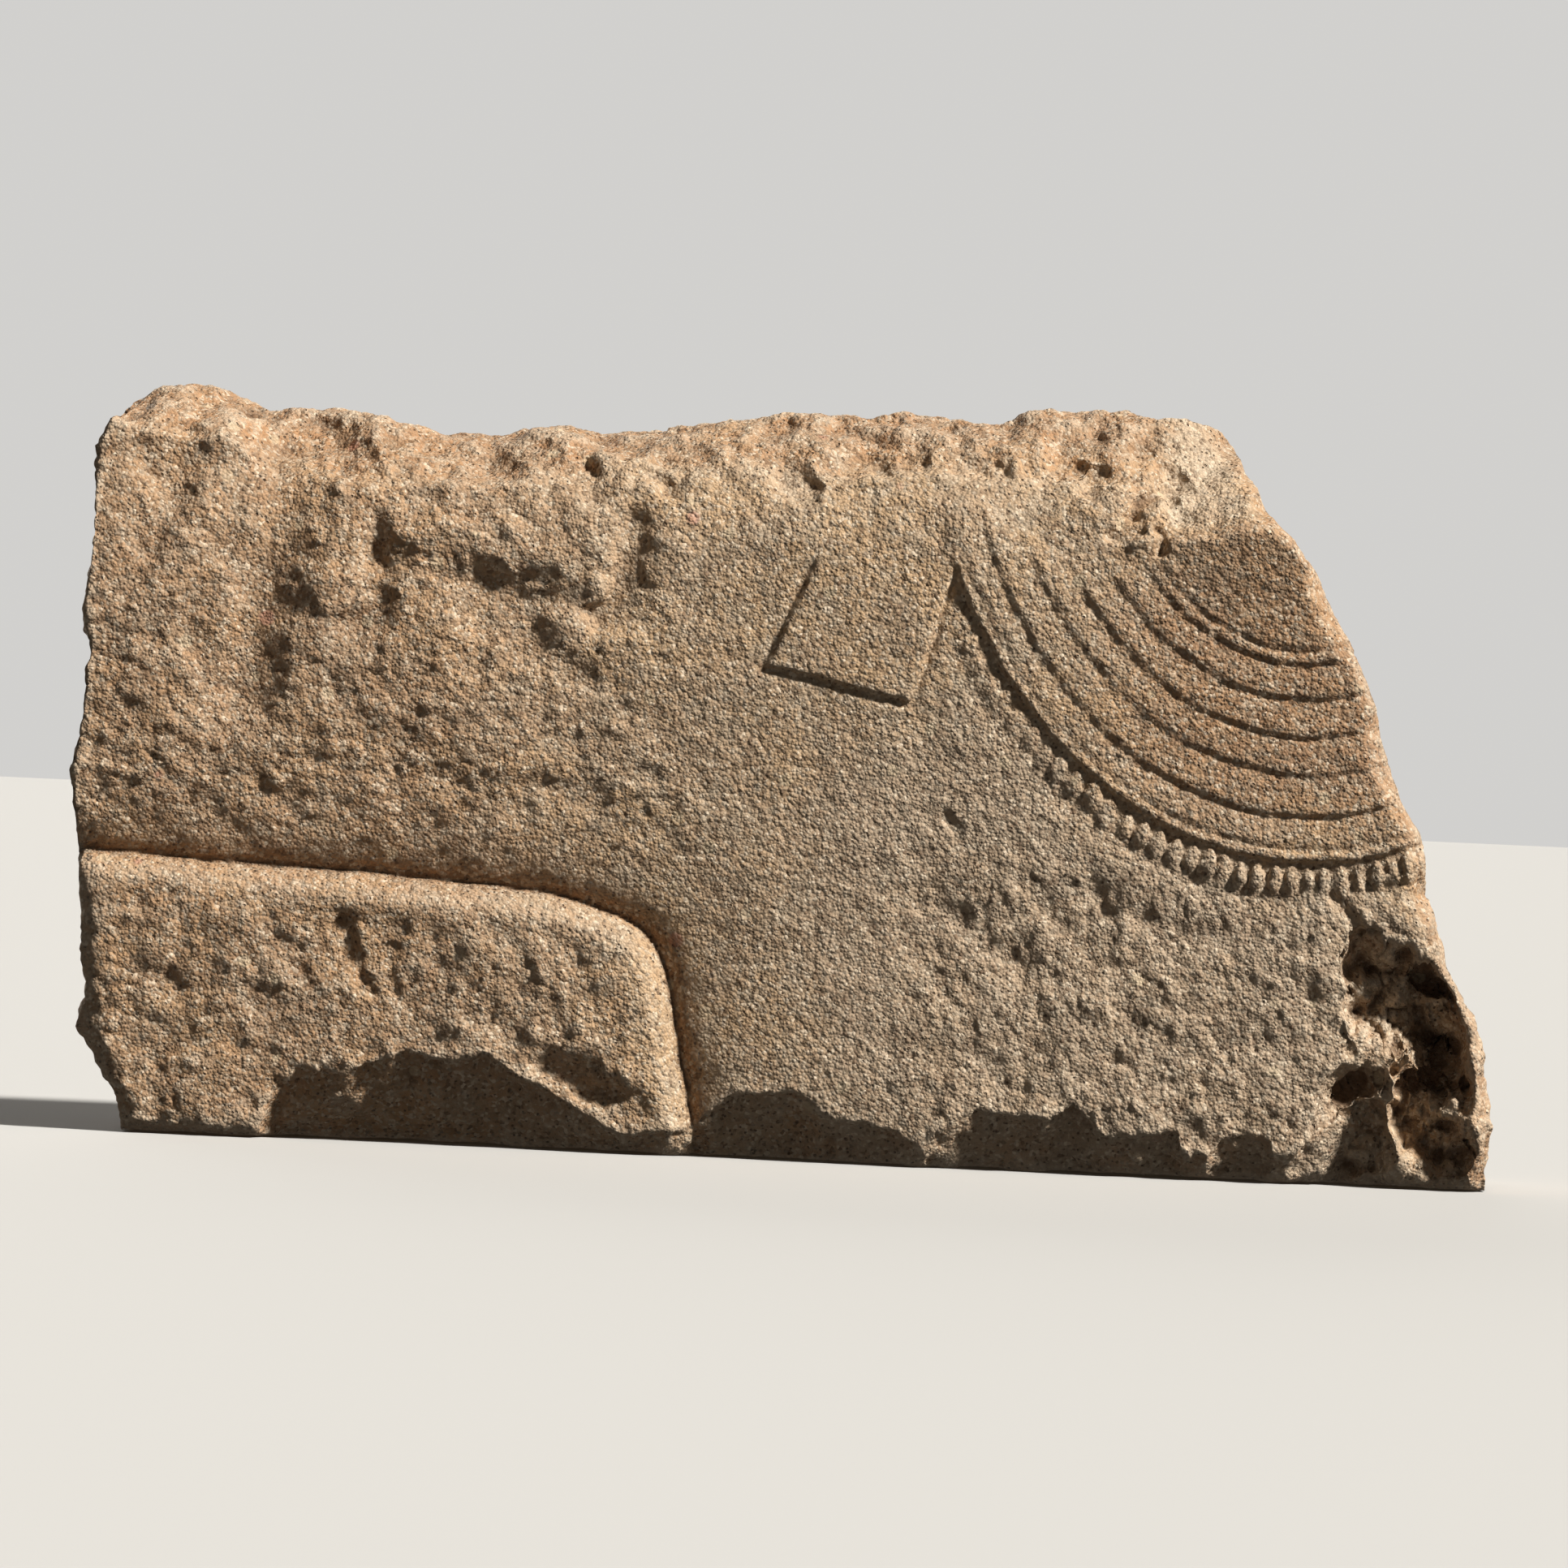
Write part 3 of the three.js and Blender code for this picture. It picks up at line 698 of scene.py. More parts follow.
    def relief(self, x: np.ndarray, z: np.ndarray) -> Relief:
        """Every form together.

        Args:
            x: Places along the block.
            z: Heights.

        Returns:
            The face's depth and wear at each place.
        """
        places = np.stack([x, np.zeros_like(x), z], axis=1)
        shift_x = self.waver(places, 0.0)
        shift_z = self.waver(places, 90.0)
        sway = 7.0 * self.noise.layered(places + 260.0, 38.0, 2)
        from_edge = self.edge.distance(x + 0.2 * shift_x, z + 0.2 * shift_z)
        figure = self.figure(x + shift_x, z + shift_z + 0.6 * sway, from_edge)
        cut = self.edge.cut_depth * np.exp(-np.maximum(from_edge, 0) / (0.38 * self.edge.cut_width))
        inward = np.clip(1 + from_edge / self.edge.rounding, 0, 1)
        ground = self.ground(x, z) + self.edge.depth * 1.05 * inward**2.2
        on_figure = smooth_step(from_edge, -0.7, 0.9)
        collar, on_collar = self.collar.height(x + 0.22 * shift_x, z + 0.22 * shift_z, self.noise)
        ribbon = self.ribbon.height(x + 0.14 * shift_x, z + 0.14 * shift_z)
        ragged = 0.8 * self.noise.layered(places + 350.0, 4.0, 2)
        under, torn = self.under_break(x + 0.6 * shift_x + ragged, z + 0.6 * shift_z + ragged)
        worn = np.zeros_like(x)
        for groove in self.grooves:
            worn += groove.depth(self.outline, x + 1.1 * shift_x, z + 1.1 * shift_z)
        right_gap = self.outline.x(self.outline.across(self.outline.right, z / self.outline.height)) - x
        hollow = self.broken_depth(places, shift_x, shift_z)
        hollow *= smooth_step(right_gap + 0.6 * shift_x, 2.0, 6.0)
        up = self.break_share(x + shift_x, z + shift_z + 0.6 * sway)
        in_hollow = smooth_step(hollow, 1.5, 6.0)
        jagged = np.stack([x + shift_x, np.zeros_like(x), z + shift_z], axis=1)
        fragments = 6.5 * self.chips(jagged, 12.0) + 2.4 * self.chips(jagged + 40.0, 6.0)
        depth = blend(ground, figure + cut - collar - ribbon, on_figure)
        depth += np.maximum(under, hollow) + worn + fragments * in_hollow * smooth_step(hollow, 4.0, 10.0)
        zones = Zones(from_edge, on_figure, on_collar, ribbon, torn, in_hollow, worn, up, right_gap)
        return self.wear(x, z, depth, zones)

    def wear(self, x: np.ndarray, z: np.ndarray, depth: np.ndarray, zones: Zones) -> Relief:
        """How broken, lumpy and pitted the stone is over the face, and a mask of its iron stain that also
        carries painted shade and painted light.

        Args:
            x: Places along the block.
            z: Heights.
            depth: The face's depth, which is handed on.
            zones: Where its forms lie.

        Returns:
            The depth with the wear.
        """
        s = x / self.outline.width + 0.5
        t = z / self.outline.height
        off_figure = 1 - zones.on_figure
        past_left = smooth_step(s, 0.3, 0.5)
        above_neck = smooth_step(s, 0.73, 0.79) * smooth_step(zones.up, 0.02, 0.22)
        near_edge = np.exp(-np.maximum(zones.from_edge, 0) / 16.0) * zones.on_figure
        by_ground_rim = smooth_step(zones.from_edge, -15.0, -7.0) * off_figure
        arm = (1 - smooth_step(s, 0.34, 0.5)) * smooth_step(t, 0.3, 0.45)
        low_chest = smooth_step(s, 0.5, 0.66) * (1 - smooth_step(t, 0.34, 0.46))
        calm = np.clip(zones.on_collar + smooth_step(zones.ribbon, 0.2, 1.2), 0, 1)
        broken = np.maximum.reduce([
            smooth_step(zones.up, 0.0, 0.35) * (1 - 0.6 * above_neck), zones.in_hollow, 0.8 * zones.torn,
        ])
        lumpy = 0.3 + 0.6 * arm + 0.7 * (off_figure * (1 - by_ground_rim)) + 0.6 * low_chest
        lumpy *= (1 - 0.65 * near_edge) * (1 - 0.5 * calm) * (1 - 0.8 * by_ground_rim)
        lumpy *= (1 - 0.5 * zones.torn) * (1 - 0.6 * smooth_step(zones.grooved, 1.2, 3.6))
        pitted = (0.6 + 0.4 * low_chest + 0.7 * zones.on_collar) * (1 - 0.6 * near_edge)
        pitted *= 1 - 0.7 * by_ground_rim
        by_collar = smooth_step(s, 0.64, 0.82) * smooth_step(t, 0.34, 0.6)
        stain_and_shade = np.maximum.reduce([
            # Painted shade: a dark stain band on the figure's side of the sunk edge, where the fillet lies in
            # shade.
            1.2 * np.exp(-((np.maximum(zones.from_edge, 0) / 6.0) ** 2)) * zones.on_figure,
            by_collar * (1 - 0.4 * smooth_step(t, 0.7, 0.82)) * (1 - above_neck),
            0.7 * smooth_step(zones.up, 0.2, 0.8) * past_left * (1 - above_neck),
            0.9 * (1 - smooth_step(zones.right_gap, 2.0, 11.0)),
            blend(0.85, 0.55, past_left) * smooth_step(zones.up, 0.0, 0.5) * (1 - above_neck),
            0.4 * off_figure * (1 - by_ground_rim),
            # Painted shade: the left part of the face darker, where the key light falls off.
            0.6 * (1 - smooth_step(s, 0.2, 0.5)),
        ])
        washed = smooth_step(s, 0.42, 0.6) * (1 - smooth_step(t, 0.45, 0.75))
        washed *= 1 - smooth_step(s, 0.9, 0.97)
        # Painted light: less stain above the neck, so the upward-facing broken top right reads brighter.
        stain_and_shade -= 0.8 * washed * (1 - zones.on_collar) + 0.4 * above_neck
        return Relief(depth, broken, lumpy, pitted, stain_and_shade)


class Surface(Enum):
    """Which side of the block a vertex belongs to."""

    FACE = 0
    SIDE = 1
    BED = 2
    BACK = 3


@dataclass
class ReliefBlock:
    """The whole stone as one closed mesh: carved face, broken sides, level bed and flat back."""

    outline: Outline = field(default_factory=Outline)
    thickness: float = 100.0
    back_inset: float = 5.0
    columns: int = 520
    rows: int = 300
    layers: int = 34
    back_rings: int = 5
    most_triangles: int = 192_000
    seed: int = 11

    def stations(self, count: int, dense_from: float, dense_to: float, gain: float) -> np.ndarray:
        """Grid shares from 0 to 1, closer together in one stretch, by inverting a summed density.

        Args:
            count: Cells along the side.
            dense_from: Where the close stretch starts.
            dense_to: Where it ends.
            gain: How much closer the stations are there.

        Returns:
            One more share than cells, rising from 0 to 1.
        """
        fine = np.linspace(0.0, 1.0, 4001)
        density = 1 + gain * smooth_step(fine, dense_from - 0.05, dense_from + 0.05) * (
            1 - smooth_step(fine, dense_to - 0.05, dense_to + 0.05)
        )
        summed = np.concatenate([[0.0], np.cumsum((density[1:] + density[:-1]) / 2)])
        return np.interp(np.linspace(0.0, 1.0, count + 1), summed / summed[-1], fine)

    def shell(self, face: Face) -> tuple[np.ndarray, np.ndarray, np.ndarray, Relief]:
        """The smooth body: a face grid, rings of its rim carried to the flat back, and rings that close it.

        Args:
            face: Gives the face its depth.

        Returns:
            Vertices, four-cornered faces (triangles repeat a corner), each vertex's side, and its wear.
        """
        u = self.stations(self.columns, 0.56, 1.0, 1.0)
        v = self.stations(self.rows, 0.4, 0.96, 0.9)
        grid_u, grid_v = np.meshgrid(u, v)
        x, z = self.outline.face(grid_u.ravel(), grid_v.ravel())
        relief = face.relief(x, z)
        front = np.stack([x, relief.depth - self.thickness / 2, z], axis=1)
        index = np.arange(len(x)).reshape(grid_u.shape)
        loop = np.concatenate([index[0, :-1], index[:-1, -1], index[-1, :0:-1], index[:0:-1, 0]])
        side = np.concatenate([
            np.full(self.columns, Surface.BED.value),
            np.full(2 * self.rows + self.columns, Surface.SIDE.value),
        ])
        side[self.columns] = Surface.BED.value
        up = grid_v.ravel()[loop]
        right = np.clip(4 * grid_u.ravel()[loop] - 2, -1, 1)
        w = (np.arange(1, self.layers + 1) / self.layers) ** 1.15
        behind = smooth_step(w, 0.4, 1.0)[:, None]
        inset = self.back_inset * behind
        start = front[loop]
        ring_x = start[:, 0] - inset * right
        ring_y = blend(start[:, 1], self.thickness / 2, w[:, None])
        settled = 1 - smooth_step(ring_y - start[:, 1], 0.0, 5.0)
        ring_z = np.where(side == Surface.BED.value, start[:, 2] * settled, start[:, 2] - inset * up)
        rings = np.stack([ring_x, ring_y, ring_z], axis=2)
        centre = rings[-1].mean(axis=0)
        closing = np.array([0.985, 0.94, 0.8, 0.5, 0.2])[: self.back_rings]
        inner = centre + (rings[-1] - centre) * closing[:, None, None]
        vertices = np.concatenate([front, rings.reshape(-1, 3), inner.reshape(-1, 3), centre[None]])
        around = len(loop)
        ring_index = len(front) + np.arange((self.layers + self.back_rings) * around).reshape(-1, around)
        every = np.concatenate([loop[None], ring_index])
        after = np.roll(every, -1, axis=1)
        patches = (
            (index[:-1, :-1], index[:-1, 1:], index[1:, 1:], index[1:, :-1]),
            (every[:-1], every[1:], after[1:], after[:-1]),
        )
        quads = [np.stack(corners, axis=-1).reshape(-1, 4) for corners in patches]
        last = np.full(around, len(vertices) - 1)
        fan = np.stack([every[-1], last, last, after[-1]], axis=1)
        kinds = np.concatenate([
            np.full(len(front), Surface.FACE.value),
            np.tile(side, self.layers),
            np.full(len(inner.reshape(-1, 3)) + 1, Surface.BACK.value),
        ])
        rest = len(vertices) - len(front)
        stain_and_shade = self.carried_back(relief.stain_and_shade[loop], vertices[len(front):], around)
        wear = Relief(
            vertices[:, 1],
            *(np.concatenate([worn, np.ones(rest)]) for worn in (relief.broken, relief.lumpy, relief.pitted)),
            np.concatenate([relief.stain_and_shade, stain_and_shade]),
        )
        return vertices, np.concatenate([*quads, fan]), kinds, wear

    def carried_back(self, rim: np.ndarray, vertices: np.ndarray, around: int) -> np.ndarray:
        """A value at the face's rim carried back round the sides, fading towards the back."""
        rings = (len(vertices) - 1) // around
        faded = np.tile(rim, rings) * (1 - 0.6 * smooth_step(vertices[:-1, 1], 0.0, 45.0))
        return np.concatenate([faded, [0.0]])

    def normals(self, vertices: np.ndarray, faces: np.ndarray) -> np.ndarray:
        """Vertex normals: the cross product of each face's diagonals, summed at its corners."""
        first, second, third, fourth = (vertices[faces[:, corner]] for corner in range(4))
        cross = np.cross(third - first, fourth - second)
        total = np.stack([
            sum(np.bincount(faces[:, corner], cross[:, axis], len(vertices)) for corner in range(4))
            for axis in range(3)
        ], axis=1)
        return total / np.maximum(np.linalg.norm(total, axis=1, keepdims=True), 1e-9)

    def roughness(
        self, vertices: np.ndarray, kinds: np.ndarray, wear: Relief, noise: StoneNoise
    ) -> np.ndarray:
        """How far the grain moves each vertex along its normal.

        Carved stone has broad lumps, pebbles of two sizes, a fine grain and pits. Broken stone has larger
        lumps and folds (the size of a noise, which folds it at zero), the bed is plain and the back is flat.

        Args:
            vertices: The smooth body.
            kinds: Each vertex's side.
            wear: How broken, lumpy and pitted each place is.
            noise: The stone's grain.

        Returns:
            Moves in millimetres, positive outwards.
        """
        lumps = 1.15 * noise.layered(vertices, 14.0, 2, 0.5) + 0.9 * noise.lumps(vertices + 25.0, 27.0)
        bends = [noise.lumps(vertices + 33.0 * axis, 4.5) for axis in (1, 2, 3)]
        bent = vertices + 1.3 * np.stack(bends, axis=1)
        pebbles = 1.1 * self.domes(bent + 5.0, 7.5, noise) + 1.3 * self.domes(bent + 15.0, 4.2, noise)
        grain = noise.lumps(vertices + 70.0, 2.3)
        carved = wear.lumpy * (lumps + 0.95 * pebbles) + 0.18 * grain
        carved += 0.25 * self.domes(bent + 19.0, 2.9, noise)
        carved -= self.pits(bent + 27.0, 3.0, 0.7, 0.3, noise) * wear.pitted
        torn = (
            2.3 * noise.layered(vertices + 200.0, 21.0, 3)
            + 1.1 * np.abs(noise.layered(vertices + 300.0, 8.0, 3))
            + 0.6 * self.domes(bent + 5.0, 6.0, noise)
            + 0.25 * grain
            - 1.1
        )
        plain = 0.35 * noise.layered(vertices + 400.0, 9.0, 3) - 0.35
        move = blend(carved, torn, wear.broken)
        behind = smooth_step(vertices[:, 1], 25.0, 48.0)
        move = np.where(kinds == Surface.SIDE.value, blend(torn, plain, 0.6 * behind), move)
        move = np.where(kinds == Surface.BED.value, np.minimum(plain, 0.0), move)
        return np.where(kinds == Surface.BACK.value, 0.0, move)

    def domes(self, places: np.ndarray, size: float, noise: StoneNoise) -> np.ndarray:
        """Pebbles: a dome of its own height over each scattered centre, with creases between them."""
        distance, chance = noise.grains(places, size)
        return (0.25 + 0.75 * chance) * np.clip(1 - (distance / 0.95) ** 2, 0, None) - 0.4

    def pits(
        self, places: np.ndarray, size: float, share: float, deep: float, noise: StoneNoise
    ) -> np.ndarray:
        """Round pits at some of the scattered centres, each of its own width.

        Args:
            places: Where the surface is.
            size: Mean distance between centres.
            share: The share of the centres that has no pit.
            deep: The depth of the widest pit.
            noise: Gives the centres.

        Returns:
            Depths in millimetres.
        """
        distance, chance = noise.grains(places, size)
        width = 0.16 + 0.22 * smooth_step(chance, share, 1.0)
        bowl = np.clip(1 - (distance / width) ** 2, 0, None)
        return deep * bowl * smooth_step(chance, share, share + 0.15)

    def hollowness(
        self, vertices: np.ndarray, faces: np.ndarray, normals: np.ndarray, rounds: int
    ) -> np.ndarray:
        """How far each vertex lies below its surroundings: the mesh is smoothed some rounds and compared.

        Args:
            vertices: The finished places.
            faces: Four-cornered faces.
            normals: Outward directions.
            rounds: Rounds of moving each vertex to its neighbours' mean.

        Returns:
            Millimetres below the smoothed surface, negative on crests.
        """
        starts = faces.ravel()
        ends = np.roll(faces, -1, axis=1).ravel()
        size = len(vertices)
        count = np.bincount(starts, minlength=size) + np.bincount(ends, minlength=size)
        soft = vertices.copy()
        for _ in range(rounds):
            soft = np.stack([
                np.bincount(starts, soft[ends, axis], size) + np.bincount(ends, soft[starts, axis], size)
                for axis in range(3)
            ], axis=1) / np.maximum(count, 1)[:, None]
        return np.sum((soft - vertices) * normals, axis=1)

    def build(self) -> bpy.types.Object:
        """Makes the stone's object, at the origin, with its tints as attributes."""
        noise = StoneNoise(self.seed)
        forms = [kind(self.outline) for kind in (SunkEdge, Collar, RibbonEnd)]
        face = Face(self.outline, *forms, noise)
        vertices, faces, kinds, wear = self.shell(face)
        normals = self.normals(vertices, faces)
        moved = vertices + normals * self.roughness(vertices, kinds, wear, noise)[:, None]
        moved[:, 1] = np.minimum(moved[:, 1], self.thickness / 2)
        moved[:, 2] = np.maximum(moved[:, 2], 0.0)
        hollow = self.hollowness(moved, faces, self.normals(moved, faces), 14)
        mesh = bpy.data.meshes.new("carved_stone")
        triangles = np.concatenate([faces[:, [0, 1, 2]], faces[:, [0, 2, 3]]])
        real = (triangles != np.roll(triangles, -1, axis=1)).all(axis=1)
        mesh.from_pydata((moved * METRE).tolist(), [], triangles[real].tolist())
        for name, values in (("broken", wear.broken), ("stain_and_shade", wear.stain_and_shade), ("hollow", hollow)):
            mesh.attributes.new(name, "FLOAT", "POINT").data.foreach_set("value", values.astype(np.float32))
        mesh.update()
        piece = bpy.data.objects.new("carved_stone", mesh)
        bpy.context.scene.collection.objects.link(piece)
        self.thin(piece)
        return piece

    def thin(self, piece: bpy.types.Object) -> None:
        """Collapses the least telling edges until the mesh is within its triangles, and shades it."""
        share = self.most_triangles / len(piece.data.polygons)
        log.info("%s: %d triangles before thinning", piece.name, len(piece.data.polygons))
        if share < 1:
            thinner = piece.modifiers.new("thin", "DECIMATE")
            thinner.ratio = share
            shown = piece.evaluated_get(bpy.context.evaluated_depsgraph_get())
            finished = bpy.data.meshes.new_from_object(shown)
            piece.modifiers.clear()
            piece.data = finished
        piece.data.shade_smooth()
        corners = np.zeros(len(piece.data.polygons) * 3, dtype=np.int32)
        piece.data.polygons.foreach_get("vertices", corners)
        places = np.zeros(len(piece.data.vertices) * 3, dtype=np.float32)
        piece.data.vertices.foreach_get("co", places)
        at_back = places[1::3] > self.thickness / 2 * METRE - 1e-5
        piece.data.polygons.foreach_set("use_smooth", ~at_back[corners.reshape(-1, 3)].all(axis=1))
        log.info("%s: %d triangles", piece.name, len(piece.data.polygons))


class Wire:
    """A shader socket that takes part in Python arithmetic: each operator adds its Math node."""

    def __init__(self, bench: "Bench", socket: bpy.types.NodeSocket) -> None:
        """Wraps one output socket."""
        self.bench = bench
        self.socket = socket

    def math(self, operation: str, other: "Wire | float", swapped: bool = False) -> "Wire":
        """Adds a Math node, with the other value first if swapped."""
        first, second = (other, self) if swapped else (self, other)
        return self.bench.node("ShaderNodeMath", {"operation": operation}, {0: first, 1: second})

    def __add__(self, other: "Wire | float") -> "Wire":
        """Adds."""
        return self.math("ADD", other)

    __radd__ = __add__

    def __sub__(self, other: "Wire | float") -> "Wire":
        """Takes away."""
        return self.math("SUBTRACT", other)

    def __rsub__(self, other: "Wire | float") -> "Wire":
        """Is taken away from a number."""
        return self.math("SUBTRACT", other, swapped=True)

    def __mul__(self, other: "Wire | float") -> "Wire":
        """Multiplies."""
        return self.math("MULTIPLY", other)

    __rmul__ = __mul__

    def rise(self, low: float, high: float) -> "Wire":
        """Goes from 0 to 1 between low and high with level ends."""
        values = {0: self, 1: low, 2: high, 3: 0.0, 4: 1.0}
        return self.bench.node("ShaderNodeMapRange", {"interpolation_type": "SMOOTHSTEP"}, values)


class Bench:
    """One material's node tree."""

    def __init__(self, name: str) -> None:
        """Starts a material of this name with a bare surface shader."""
        self.material = bpy.data.materials.new(name)
        self.material.use_nodes = True
        self.tree = self.material.node_tree
        self.shader = self.tree.nodes["Principled BSDF"]

    def node(self, kind: str, settings: dict, values: dict, output: int | str = 0) -> Wire:
        """Adds any node.

        Args:
            kind: The node's type.
            settings: Its properties, set first.
            values: Its inputs by name or number, as numbers, colours or wires.
            output: Which output comes back.

        Returns:
            The output's socket.
        """
        made = self.tree.nodes.new(kind)
        for name, value in settings.items():
            setattr(made, name, value)
        for name, value in values.items():
            self.feed(made.inputs[name], value)
        return Wire(self, made.outputs[output])

    def feed(self, socket: bpy.types.NodeSocket, value: "Wire | float | tuple") -> None:
        """Links a wire to a socket, or sets the socket's own value."""
        if isinstance(value, Wire):
            self.tree.links.new(value.socket, socket)
        elif isinstance(value, tuple) and len(value) == 3 and socket.type == "RGBA":
            socket.default_value = (*value, 1.0)
        else:
            socket.default_value = value

    def mix(self, first: "Wire | tuple", second: "Wire | tuple", share: "Wire | float") -> Wire:
        """Mixes two colours, with share of the second."""
        made = self.tree.nodes.new("ShaderNodeMix")
        made.data_type = "RGBA"
        colours = [socket for socket in made.inputs if socket.type == "RGBA"]
        self.feed(made.inputs[0], share)
        self.feed(colours[0], first)
        self.feed(colours[1], second)
        return Wire(self, next(socket for socket in made.outputs if socket.type == "RGBA"))


@dataclass(frozen=True)
class Quartzite:
    """Weathered quartz sandstone: translucent grey grains, honey-coloured cement and iron stains, with
    painted shade in pits, recesses, along the sunk edge and on the left, and painted light on the broken top.
    """

    sand: tuple = (0.52, 0.362, 0.225)
    honey: tuple = (0.60, 0.40, 0.225)
    grey: tuple = (0.45, 0.345, 0.235)
    washed: tuple = (0.50, 0.385, 0.275)
    pale: tuple = (0.80, 0.66, 0.49)
    rust_and_shade: tuple = (0.50, 0.25, 0.11)
    umber_and_shade: tuple = (0.27, 0.145, 0.075)
    soot_and_shade: tuple = (0.15, 0.085, 0.045)
    rose: tuple = (0.55, 0.24, 0.17)
    quartz: tuple = (0.74, 0.60, 0.40)
    grain_mm: float = 1.05
    bump_mm: float = 1.6
    roughness: float = 0.8
    specular: float = 0.35

    def material(self) -> bpy.types.Material:
        """Builds the material, whose colour, roughness and bump vary with the grain."""
        bench = Bench("quartzite")
        place = bench.node("ShaderNodeTexCoord", {}, {}, "Object")

        def cloud(size_mm: float, detail: float = 3.0, rough: float = 0.55) -> Wire:
            """Soft noise of a size in millimetres."""
            return bench.node(
                "ShaderNodeTexNoise", {},
                {"Vector": place, "Scale": 1000.0 / size_mm, "Detail": detail, "Roughness": rough}, "Fac",
            )

        def cells(size_mm: float, output: str) -> Wire:
            """Grains of a size in millimetres, as cells round scattered points."""
            values = {"Vector": place, "Scale": 1000.0 / size_mm}
            return bench.node("ShaderNodeTexVoronoi", {}, values, output)

        def chance(colour: Wire, channel: int) -> Wire:
            """One channel of a cell's random colour."""
            return bench.node("ShaderNodeSeparateColor", {}, {0: colour}, channel)

        def spots(size_mm: float, rim: float, core: float, channel: int, low: float, high: float) -> Wire:
            """Round spots at some of the cells' points: those whose random channel is past low to high."""
            spot = cells(size_mm, "Distance").rise(rim, core)
            return spot * chance(cells(size_mm, "Color"), channel).rise(low, high)

        def made(name: str) -> Wire:
            """A value that the mesh carries at its points."""
            return bench.node("ShaderNodeAttribute", {"attribute_name": name}, {}, "Fac")

        broken, stain_and_shade, hollow = made("broken"), made("stain_and_shade"), made("hollow")
        height = bench.node("ShaderNodeSeparateXYZ", {}, {0: place}, 2)
        grain = cells(self.grain_mm, "Color")
        holes = spots(2.0, 0.26, 0.12, 1, 0.5, 0.55)
        layers = (
            (self.honey, cloud(28.0).rise(0.42, 0.62) * 0.8),
            (self.grey, cloud(9.0).rise(0.48, 0.66) * 0.7),
            (self.washed, stain_and_shade.rise(-0.1, -0.8) * 0.6),
            (self.rust_and_shade, stain_and_shade.rise(0.0, 1.0) * (0.3 + 0.3 * cloud(7.0).rise(0.35, 0.65))),
            (self.umber_and_shade, stain_and_shade.rise(0.2, 0.9) * (0.2 + 0.2 * cloud(11.0).rise(0.4, 0.62))),
            (self.rust_and_shade, broken * cloud(14.0).rise(0.45, 0.65) * 0.35),
            # Painted light: paler broken stone near the top, so the upward-facing break reads brighter.
            (self.pale, broken * height.rise(0.17, 0.2) * stain_and_shade.rise(0.5, -0.2) * 0.7),
            (self.pale, chance(grain, 0).rise(0.7, 0.95) * 0.7),
            (self.grey, chance(grain, 1).rise(0.7, 0.95) * 0.5),
            (self.soot_and_shade, chance(grain, 2).rise(0.2, 0.05) * 0.65),
            (self.pale, cloud(3.4, 3.0, 0.6).rise(0.5, 0.72) * 0.4),
            (self.soot_and_shade, cloud(4.6, 3.0, 0.6).rise(0.48, 0.3) * 0.3),
            (self.soot_and_shade, cloud(2.2, 4.0, 0.7).rise(0.42, 0.30) * 0.45),
            # Painted shade: dark colour in the small pits.
            (self.soot_and_shade, holes * 0.75),
            # Painted shade: darker where the surface lies below its smoothed surroundings, in recesses and
            # broken hollows; paler where it stands above them.
            (self.soot_and_shade, hollow.rise(0.25, 1.6) * 0.45),
            (self.soot_and_shade, hollow.rise(0.9, 3.0) * 0.85),
            (self.pale, hollow.rise(-0.2, -1.2) * 0.3),
            (self.quartz, spots(11.0, 0.22, 0.16, 0, 0.8, 0.84) * 0.45),
            (self.rose, spots(21.0, 0.14, 0.09, 1, 0.86, 0.9) * 0.5),
        )
        body = self.sand
        for colour, share in layers:
            body = bench.mix(body, colour, share)
        bench.feed(bench.shader.inputs["Base Color"], body)
        bench.feed(bench.shader.inputs["Roughness"], self.roughness - 0.3 * chance(grain, 0).rise(0.7, 1.0))
        bench.shader.inputs["Specular IOR Level"].default_value = self.specular
        pebbly = (1 - cells(2.4, "Distance")) * (0.4 + chance(cells(2.4, "Color"), 0))
        relief = 0.3 * cloud(1.4, 4.0, 0.7) + 0.3 * (1 - cells(self.grain_mm, "Distance")) + 0.45 * pebbly
        facets = 0.3 * chance(grain, 1) + 0.35 * chance(cells(1.9, "Color"), 2)
        relief = relief - 1.1 * holes + facets
        values = {"Strength": 1.0, "Distance": self.bump_mm * METRE, "Height": relief}
        bench.feed(bench.shader.inputs["Normal"], bench.node("ShaderNodeBump", {}, values, "Normal"))
        return bench.material


